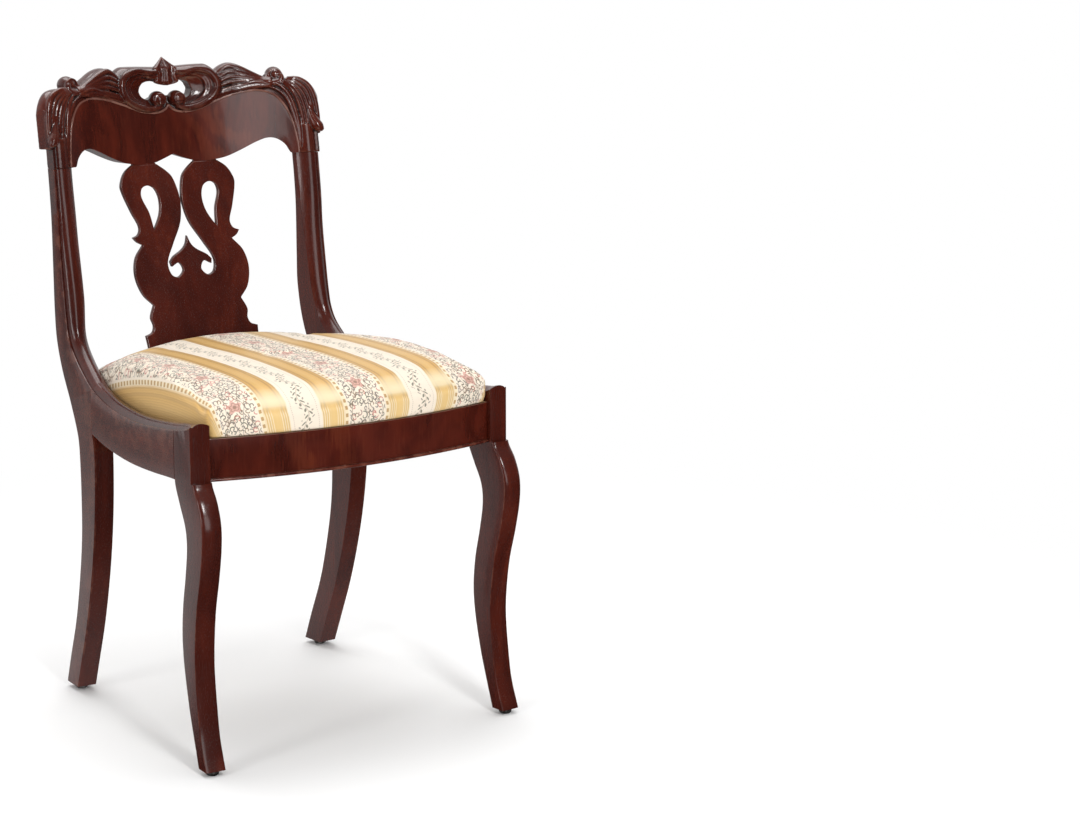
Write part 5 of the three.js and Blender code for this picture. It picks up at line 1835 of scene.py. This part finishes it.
    def leaf_peak(self, body: Body) -> None:
        """Adds the leaf on the middle of the crest, its flanks hollow, and the scrolls under it.

        Args:
            body: What they are added to.
        """
        rise = np.linspace(self.peak_wide[0][0], self.peak, 70)[:, None]
        wide, deep = Line(self.peak_wide)(rise), Line(self.peak_deep)(rise)
        section = np.asarray(self.peak_section, float)
        middle = self.thickness / 3
        body.loft(self.at(section[:, 0] * wide, PLAN.crest_joint + self.rise + rise,
                          middle + (section[:, 1] - middle) * deep))
        sweep = self.along([(0.012, 0.97), (0.05, 0.915), (0.11, 0.90), (0.17, 0.915)], 30)
        body.pair(self.at(sweep[:, 0], sweep[:, 1], 0.6),
                  1.2 + 2.0 * np.sin(math.pi * np.linspace(0, 1, len(sweep))))

    def necks(self, body: Body) -> None:
        """Adds the curling necks that carry the knobs from the humps' ribs.

        Args:
            body: What they are added to.
        """
        path = self.along([(0.655, 0.80), (0.70, 0.785), (0.75, 0.785), (0.79, 0.81),
                           (0.795, 0.865), (0.765, 0.90)], 40)
        u = np.linspace(0, 1, len(path))
        radius = 2.2 + 3.4 * np.sin(math.pi * np.clip(u * 0.85 + 0.08, 0, 1))
        root = self.along([(0.70, 0.815), (0.73, 0.83), (0.755, 0.86)], 16)
        neck = self.at(path[:, 0], path[:, 1], 2.2 + 4.5 * u)
        stem = self.at(root[:, 0], root[:, 1], np.linspace(9, 14, len(root)))
        for sign in SIDES:
            body.strand(neck * (sign, 1, 1), radius)
            body.strand(stem * (sign, 1, 1), 9.0)

    def ear_tips(self, body: Body) -> None:
        """Adds the flared leaf tip at the end of each ear and a smaller one inside it.

        Args:
            body: What they are added to.
        """
        for start, reach, size, low in ((-2.0, 0.75, 7.4, 0.25), (-5.4, -2.8, 4.8, 0.235)):
            rows = [(start, 0.58), (start + 0.2, 0.45), (start + (reach - start) * 0.45, 0.33),
                    (reach, low)]
            path = curve_through(np.asarray(rows) * (self.flare, self.rise), 30)
            path = path + (self.end, PLAN.crest_joint)
            u = np.linspace(0, 1, 30)
            radius = Line([(0, 0.3), (0.5, 0.85), (0.85, 1.0), (1, 0.35)])(u) * size
            middle = self.at(path[:, 0], path[:, 1], self.ear_round - 1.0 - 2.5 * u ** 2)
            body.pair(middle, radius)

    def carved(self) -> bpy.types.Mesh:
        """The whole carved rail.

        Returns:
            One even mesh, with its hollows and ridges marked for the finish.
        """
        prism = traced(self.opening, self.opening_half, self.opening_height, 10)
        z = prism[:, 1] + PLAN.crest_joint + self.opening_foot
        cutter = Body().loft(np.stack([stack(prism[:, 0], PLAN.crest_reach + depth, z)
                                       for depth in (-self.thickness, 2 * self.thickness)]))
        board = with_boolean(self.board().mesh("board"), cutter.mesh("cutter"), "DIFFERENCE")
        extra = Body()
        for run in (self.scrolls, self.humps, self.leaves, self.sprigs, self.borders, self.ears):
            self.ribs(extra, run)
        self.rolled(extra, self.knob_at, self.knob + self.roll, 1.2, 2.6)
        self.rolled(extra, self.scroll_at, self.scroll + self.roll, 1.3, 2.1)
        self.necks(extra)
        self.leaf_peak(extra)
        self.ear_tips(extra)
        for sign in SIDES:
            extra.loft(SideFrames().crest_foot() * (sign, 1, 1))
        whole = bmesh.new()
        whole.from_mesh(board)
        whole.from_mesh(extra.mesh("extra"))
        joined = bpy.data.meshes.new("joined")
        whole.to_mesh(joined)
        whole.free()
        even = with_modifier(joined, "REMESH", mode="VOXEL", voxel_size=self.grain * MM)
        even = with_modifier(even, "SMOOTH", factor=0.5, iterations=5)
        self.trim(even)
        # Hollows are marked for dark patina deepened as painted shade, and ridges for pale wear and
        # painted highlights.
        mark_relief(even, 3, 11.0)
        return even

    def trim(self, mesh: bpy.types.Mesh) -> None:
        """Presses what lies under the ears back to the side frames' outer faces.

        Args:
            mesh: The carved rail, which is changed.
        """
        points = read_points(mesh) / MM + (0.0, ORIGIN, 0.0)
        sign = np.sign(points[:, 0])
        cosine, sine = math.cos(PLAN.splay), math.sin(PLAN.splay)
        inward = (PLAN.front_width / 2 - np.abs(points[:, 0])) * cosine - points[:, 1] * sine
        below = points[:, 2] < PLAN.crest_joint + self.ear_lift
        past = np.where((inward < 0) & below, -inward, 0)
        points[:, 0] -= sign * past * cosine
        points[:, 1] -= past * sine
        mesh.vertices.foreach_set("co", PLAN.metres(points).ravel())
        mesh.update()

    def panel_face(self) -> bpy.types.Mesh:
        """The veneered panel with its raised bead.

        Returns:
            Their mesh.
        """
        span = self.end - self.ear_width - self.veneer
        x = np.linspace(-span, span, 241)[:, None]
        foot = self.half_line(self.panel_foot, span + self.veneer, self.lobe)(x)
        head = self.half_line(self.panel_head, span + self.veneer, self.panel)(x) - PLAN.fit
        share = np.linspace(0, 1, 9)
        front = self.at(x, head + (foot - head) * share,
                        np.where((share == 0) | (share == 1), 0.35, 0.0))
        rings = np.concatenate([self.at(x, foot, self.veneer), self.at(x, head, self.veneer),
                                front], 1)
        face = Body().loft(rings)
        inset = 0.8
        line = np.concatenate([[[-span + inset, foot[0, 0] + 1.0]],
                               np.c_[x[:, 0] * (span - inset) / span, head[:, 0] - 0.9],
                               [[span - inset, foot[-1, 0] + 1.0]]])
        length = np.r_[0, np.cumsum(np.linalg.norm(np.diff(line, axis=0), axis=1))]
        even = np.linspace(0, length[-1], 420)
        across, up = (np.interp(even, length, line[:, k]) for k in (0, 1))
        face.strand(self.at(across, up, 0.1), 1.6, 8)
        # The raised bead is marked to be painted pale: a painted highlight along it.
        face.values["ridge"][-1] = face.values["ridge"][-1] + 1.0
        return face.mesh("panel")

    def build(self) -> None:
        """Makes the carved rail and its veneered panel."""
        wood = Mahogany("mahogany_crest", Grain.ACROSS, 18.1, carved=True)
        show("carved_crest", self.carved(), wood.material(),
             Place("mahogany", nodes=("crest_rail",)), 80)
        show("crest_panel", self.panel_face(), CrotchVeneer("crest_flame", 7.7).material(),
             Place("figured_veneer", nodes=("crest_veneer",)))


@dataclass(frozen=True)
class SlipSeat:
    """The drop-in seat: a stuffed pad under a striped cover, on a webbed frame."""

    clearance: float = 0.2
    rear_gap: float = 3.2
    proud: float = 1.0
    corner: float = 6.0
    edge: float = 31.0
    fall: float = 13.0
    swell: float = 25.0
    height: float = 61.0
    turn_under: float = 20.0
    cover: float = 1.4
    hessian_top: float = 440.7
    sag: float = 8.5
    slack: float = 3.0
    slack_above: float = 445.0
    cap: float = 4.0
    count: int = 216
    frames: int = 20
    pressure: float = 4.0
    stiffness: float = 25.0
    sag_run: tuple[float, float] = (70.0, 290.0)
    hug_front: tuple[float, float] = (15.0, 60.0)
    hug_rear: tuple[float, float] = (345.0, 300.0)
    rise: Rows = ((0, 1), (0.08, 1), (0.34, 0.96), (0.57, 0.86), (0.76, 0.68), (0.89, 0.48),
                  (0.962, 0.24), (0.99, 0.03))
    bulge: Rows = ((0, 0.988), (0.25, 0.997), (0.55, 1), (0.88, 0.999), (1, 0.99))

    @property
    def rear(self) -> float:
        """The seat's rear edge along s."""
        return PLAN.splat_reach - self.rear_gap

    @property
    def foot(self) -> float:
        """Height of the seat's underside."""
        return PLAN.rail_top + PLAN.fit

    def wide(self, s: Any) -> Grid:
        """Half the seat's width at s."""
        return PLAN.inner_at(s) - self.clearance

    @property
    def half(self) -> float:
        """Half its width half way back."""
        return float(self.wide(self.rear / 2))

    def outline(self) -> Grid:
        """Evenly spread places round the seat.

        Returns:
            The places, as x and s.
        """
        rail = FrontRail()
        front = rail.setting - self.proud
        a, r = float(self.wide(front)) - self.corner, self.corner / 2
        start, middle = float(rail.bow_at(a)) - self.proud, float(rail.bow_at(0)) - self.proud
        u = np.linspace(0, 1, 60)[:, None]

        def bend(p: Sequence[float], q: Sequence[float], e: Sequence[float], steps: Grid) -> Grid:
            """A curve from p to e that leans towards q."""
            p, q, e = (np.asarray(v, float) for v in (p, q, e))
            return (1 - steps) ** 2 * p + 2 * steps * (1 - steps) * q + steps ** 2 * e

        corner = u[::6]
        rear = self.rear
        near, past, late, side = (float(self.wide(s))
                                  for s in (front, front + self.corner, rear - r, rear))
        half = np.concatenate([
            bend((0, middle), (a / 2, middle), (a, start), u),
            bend((a, start), (near, front), (past, front + self.corner), corner),
            bend((late, rear - r), (side, rear), (side - r, rear), corner), [(0.0, rear)]])
        loop = np.concatenate([half, half[::-1][1:] * (-1, 1)])
        length = np.r_[0, np.cumsum(np.linalg.norm(np.diff(loop, axis=0), axis=1))]
        places = np.linspace(0, length[-1], self.count, endpoint=False)
        return np.stack([np.interp(places, length, loop[:, k]) for k in (0, 1)], -1)

    def edge_height(self, outline: Grid) -> Grid:
        """Height of the upholstered edge above the rails.

        Args:
            outline: Places round the seat, as x and s.

        Returns:
            The height at each of them.
        """
        along = np.clip(outline[:, 1] / self.rear, 0, 1)
        across = np.minimum(np.abs(outline[:, 0]) / self.half, 1)
        swell = np.sin(math.pi * along) ** 0.8 + along ** 4 * (1 - across ** 2)
        return self.edge - self.fall * (along * across) ** 4 + self.swell * swell

    def pad(self) -> tuple[bpy.types.Mesh, Grid]:
        """The pad before it is stuffed.

        Returns:
            Its mesh, and how freely each of its points may move.
        """
        outline = self.outline()
        middle = np.array([0, self.rear / 2])
        edge = self.edge_height(outline)
        hang = self.sag * np.sin(math.pi * ease(outline[:, 1], *self.sag_run)) ** 0.8
        crown = np.r_[0.012, np.linspace(0.05, 0.9, 18), 0.925, 0.945, 0.96, 0.972, 0.982]
        down = np.array([1, 0.985, 0.96, 0.92, 0.86, 0.76, 0.64, 0.5, 0.36, 0.22, 0.1, 0.0])
        hug = (ease(outline[:, 1], *self.hug_front) * ease(outline[:, 1], *self.hug_rear))[:, None]
        rings = [(s, 1.0, float(Line(self.rise)(s))) for s in crown]
        rings += [(float(Line(self.bulge)(b)), b, 0.03 * float(ease(b, 0.93, 1))) for b in down]
        place, level, free = [], [], []
        for scale, b, c in rings:
            snug = scale + (1 - scale) * hug * (b < 1)
            place.append((outline - middle) * snug + middle)
            level.append(self.foot - hang * (1 - b) ** 2 + b * edge + c * (self.height - edge))
            free.append(np.full(self.count, float(ease(b, 0.3, 0.9))))
        inner = self.bulge[0][1]
        inside = self.foot + self.cover
        for inset, z in ((6, self.foot), (self.turn_under, self.foot), (self.turn_under, inside),
                         (self.cover, inside), (self.cover, self.hessian_top),
                         (60, self.hessian_top), (150, self.hessian_top)):
            place.append((outline - middle) * inner * (1 - inset / self.half) + middle)
            level.append(z - hang * (z < self.foot + 2 * self.cover))
            free.append(np.zeros(self.count))
        place, level = np.stack(place), np.stack(level)
        across, along, past, facing = self.cloth_lines(place, level, len(crown) - 2)
        front = ease(facing, 0.35, 0.9)
        # fade marks the front shoulder, where the satin's highlight is painted.
        fade = (1 - ease(np.abs(past + 1), 2, 13 + 20 * (past < -1))) * front
        # face and flank pick the gold's lighter copies, painted light on the front and on the
        # sides.
        face = ease(past, 5, 15) * front
        flank = ease(past, 4, 12) * (1 - front)
        # Painted shade low on the cover by the rails: up to 24 mm on the sides, 4 mm at the front.
        crevice = (ease(level, self.foot + 24, self.foot - 2) * (1 - front)
                   + ease(level, self.foot + 4, self.foot) * front)
        points = np.concatenate([place, level[..., None]], -1)
        body = Body().loft(points, 0.0, across=across * MM, along=along * MM, fade=fade, face=face,
                           flank=flank, crevice=crevice)
        return body.mesh("pad"), np.concatenate(free)

    def cloth_lines(self, place: Grid, level: Grid,
                    shoulder: int) -> tuple[Grid, Grid, Grid, Grid]:
        """How the cloth lies on the pad.

        Args:
            place: The rings' places in plan.
            level: Their heights.
            shoulder: The ring past which the cloth follows the edge.

        Returns:
            Lengths across and along the stripes, the length past the shoulder and how much a
            point of the edge faces the front.
        """
        ahead, behind = np.roll(place[shoulder], -3, 0), np.roll(place[shoulder], 3, 0)
        way = ahead - behind
        normal = np.stack([way[:, 1], -way[:, 0]], -1)
        normal /= np.linalg.norm(normal, axis=1, keepdims=True)
        full = np.concatenate([place, level[..., None]], -1)
        step = np.linalg.norm(np.diff(full, axis=0), axis=-1)
        length = np.concatenate([np.zeros((1, self.count)), np.cumsum(step, 0)])
        past = length - length[shoulder]
        pull = 0.6 + 0.4 * ease(-normal[:, 1], 0.2, 0.8)
        spread = place[shoulder] + normal * pull[:, None] * np.clip(past, 0, None)[..., None]
        over = (np.arange(len(place)) > shoulder)[:, None, None]
        cloth = np.where(over, spread, place)
        facing = np.broadcast_to(-normal[:, 1], past.shape)
        return cloth[..., 0], cloth[..., 1], past, facing

    def stuffed(self, mesh: bpy.types.Mesh, free: Grid) -> None:
        """Swells the pad by a short cloth simulation and keeps the result in its mesh.

        Args:
            mesh: The pad, which is changed.
            free: How freely each of its points may move, from 0 to 1.
        """
        start = read_points(mesh)
        middle = np.array([0, self.rear / 2 - ORIGIN]) * MM
        spread = np.linalg.norm((start[:, :2] - middle) / (self.half * MM), axis=1)
        upper = start[:, 2] > self.slack_above * MM
        start[:, 2] -= self.slack * MM * free * (1 - ease(spread, 0.5, 1.1)) * upper
        mesh.vertices.foreach_set("co", start.ravel())
        holder = placed("pad", mesh)
        held = holder.vertex_groups.new(name="held")
        for i, value in enumerate(free):
            held.add([i], 1.0 - float(value), "REPLACE")
        cloth = holder.modifiers.new("Cloth", "CLOTH")
        settings = cloth.settings
        settings.vertex_group_mass = "held"
        settings.effector_weights.gravity = 0.0
        settings.use_pressure = True
        settings.uniform_pressure_force = self.pressure
        settings.quality = 5
        settings.mass = 0.3
        settings.tension_stiffness = settings.compression_stiffness = self.stiffness
        settings.bending_stiffness = 2.0
        scene = bpy.context.scene
        cloth.point_cache.frame_start, cloth.point_cache.frame_end = 1, self.frames
        for step in range(1, self.frames + 1):
            scene.frame_set(step)
        move = read_points(as_shown(holder)) - start
        far = np.linalg.norm(move, axis=1, keepdims=True)
        LOG.info("the pad swells by up to %.1f mm before the cap", float(far.max()) / MM)
        move *= np.minimum(1, self.cap * MM / np.maximum(far, 1e-9)) * free[:, None]
        mesh.vertices.foreach_set("co", (start + move).ravel())
        mesh.update()
        bpy.data.objects.remove(holder)
        scene.frame_set(1)

    def build(self) -> None:
        """Makes the pad and dresses the boards, the webbing and the hessian."""
        mesh, free = self.pad()
        self.stuffed(mesh, free)
        mesh = with_modifier(mesh, "SUBSURF", levels=1, render_levels=1, use_limit_surface=False)
        seat = show("striped_pad", mesh, StripedSatin("striped_satin").material(),
                    Place("striped_fabric", "slip_seat", ("seat_cover", "seat_stuffing")), 60)
        dress([f"seat_board_{n}" for n in ("front", "rear")],
              SawnWood("slip_frame_wood").material())
        dress([f"seat_board_{n}" for n in ("right", "left")],
              SawnWood("slip_side_wood", Grain.BACK).material())
        jute = PlainWeave("jute_webbing", 0.0022, (0.50, 0.40, 0.25), (0.22, 0.16, 0.09))
        hemp = PlainWeave("hemp_hessian", 0.0014, (0.42, 0.33, 0.20), (0.17, 0.12, 0.07))
        dress([f"webbing_{way}_{n}" for way in ("across", "along") for n in (1, 2, 3)],
              jute.material())
        dress(["seat_hessian"], hemp.material())


@dataclass(frozen=True)
class Hardware:
    """Rail core, corner blocks, screws and glides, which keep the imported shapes."""

    def build(self) -> None:
        """Gives each of them its finish."""
        dress(["front_rail"], SawnWood("rail_core_wood").material())
        ends = [(end, hand) for end in ("front", "rear") for hand in ("right", "left")]
        dress([f"{end}_corner_block_{hand}" for end, hand in ends],
              SawnWood("block_wood", tint=(0.46, 0.30, 0.16)).material())
        dress([f"{end}_{way}_screw_{hand}" for end, hand in ends for way in ("rail", "side")],
              DullMetal("old_steel").material())
        dress([f"{end}_glide_{hand}" for end, hand in ends],
              DullMetal("dull_glides", (0.20, 0.19, 0.18), (0.025, 0.022, 0.02)).material())


@dataclass(frozen=True)
class Softbox:
    """A rectangular studio lamp that looks at a place."""

    name: str
    place: tuple[float, float, float]
    target: tuple[float, float, float]
    size: tuple[float, float]
    power: float

    def build(self) -> None:
        """Makes the lamp."""
        lamp = bpy.data.lights.new(self.name, "AREA")
        lamp.shape = "RECTANGLE"
        lamp.size, lamp.size_y = self.size
        lamp.energy = self.power
        made = placed(self.name, lamp)
        made.location = self.place
        made.visible_camera = False
        way = Vector(self.target) - Vector(self.place)
        made.rotation_euler = way.to_track_quat("-Z", "Y").to_euler()


@dataclass(frozen=True)
class Studio:
    """Pale floor, soft lamps, plain white room and the camera of the photograph."""

    camera_at: tuple[float, float, float] = (-1.7298, -3.08718, 1.0905)
    azimuth: float = -35.24
    pitch: float = 11.2845
    focal: float = 90.70
    sensor: float = 36.0
    room: float = 0.62
    floor_reach: float = 60.0
    floor_drop: float = 0.0002
    lamps: tuple[Softbox, ...] = (
        Softbox("front_softbox", (-0.45, -3.5, 1.15), (0, 0, 0.55), (1.6, 1.7), 17.0),
        Softbox("high_front_softbox", (-0.4, -2.7, 2.5), (0, 0, 0.4), (0.4, 0.8), 31.0),
        Softbox("left_softbox", (-3.3, -0.9, 1.5), (0, 0, 0.45), (0.6, 2.0), 22.0),
        Softbox("overhead", (0.3, 0.7, 3.2), (0, 0, 0.45), (2.6, 2.0), 54.0),
    )

    def world(self) -> None:
        """White to the camera, plain to matt surfaces, dimmer ahead of the chair in reflections."""
        world = bpy.data.worlds.new("white_room")
        bpy.context.scene.world = world
        world.use_nodes = True
        r = Nodes(world.node_tree)
        way = r.node("ShaderNodeTexCoord", None, None, "Generated")
        behind = r.step(r.axis(way, "Y"), -0.35, 0.45) * 0.72 + 0.03
        above = r.step(r.axis(way, "Z"), 0.25, 0.9) * 0.15
        shine = r.maths("MAXIMUM", behind, above)
        matt = r.node("ShaderNodeMix", None, {0: r.ray("Glossy"), 2: self.room, 3: shine})
        seen = r.node("ShaderNodeMix", None, {0: r.ray("Camera"), 2: matt, 3: 1.0})
        back = r.tree.nodes["Background"]
        back.inputs["Color"].default_value = (1, 1, 1, 1)
        r.tree.links.new(seen.socket, back.inputs["Strength"])

    def floor(self) -> None:
        """A very wide disc that keeps the chair's shadow and fades into plain white."""
        turn = np.linspace(0, 2 * math.pi, 96, endpoint=False)
        ring = stack(np.cos(turn), np.sin(turn), 0.0) * self.floor_reach
        mesh = bpy.data.meshes.new("floor")
        mesh.from_pydata((ring - (0, 0, self.floor_drop)).tolist(), [], [list(range(len(turn)))])
        made = placed("studio_floor", mesh)
        made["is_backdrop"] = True
        r = Recipe("pale_floor")
        for name, value in (("Roughness", 0.9), ("Specular IOR Level", 0.0),
                            ("Base Color", (0.97, 0.97, 0.97, 1.0))):
            r.shader.inputs[name].default_value = value
        away = r.node("ShaderNodeVectorMath", {"operation": "LENGTH"}, {0: r.places()}, "Value")
        white = r.node("ShaderNodeEmission", None, {"Color": (1, 1, 1), "Strength": 1.0})
        lit = r.node("ShaderNodeMixShader", None, {0: r.step(away, 0.42, 1.5) * r.ray("Camera"),
                                                   1: Wire(r, r.shader.outputs[0]), 2: white})
        # To glossy rays the floor glows, dark ahead of the chair and brighter behind it: a painted
        # reflection on the wood.
        behind = r.axis(r.places(), "Y")
        shade = r.step(behind, -0.3, 0.35) * 0.5 - r.step(behind, 0.8, 1.8) * 0.24
        tone = r.node("ShaderNodeCombineColor", None, {0: shade, 1: shade, 2: shade})
        mirrored = r.node("ShaderNodeEmission", None, {"Color": tone, "Strength": 1.0})
        whole = r.node("ShaderNodeMixShader", None, {0: r.ray("Glossy"), 1: lit, 2: mirrored})
        r.tree.links.new(whole.socket, r.tree.nodes["Material Output"].inputs["Surface"])
        mesh.materials.append(r.material)

    def camera(self) -> None:
        """The camera, where the photograph was taken from."""
        lens = bpy.data.cameras.new("camera")
        lens.lens, lens.sensor_width = self.focal, self.sensor
        lens.dof.use_dof = False
        lens.clip_end = 200.0
        made = placed("camera", lens)
        made.location = self.camera_at
        made.rotation_euler = (math.radians(90 - self.pitch), 0.0, math.radians(self.azimuth))
        bpy.context.scene.camera = made

    def build(self) -> None:
        """Makes the whole studio."""
        self.world()
        self.floor()
        for lamp in self.lamps:
            lamp.build()
        self.camera()
        bpy.context.scene.view_settings.view_transform = "Standard"


def corners() -> list[list[float]]:
    """The chair's lowest and highest corners, as plain numbers."""
    return [[float(v) for v in corner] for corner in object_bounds()]


def main() -> None:
    """Builds the chair's looks in order."""
    logging.basicConfig(level=logging.INFO, format="%(relativeCreated)7.0f ms %(message)s")
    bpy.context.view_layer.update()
    for part in (SideFrames(), FrontRail(), RearRail(), Splat(), Crest(), SlipSeat(), Hardware(),
                 Studio()):
        part.build()
        LOG.info("%s is built", type(part).__name__)


if __name__ == "__main__":
    main()
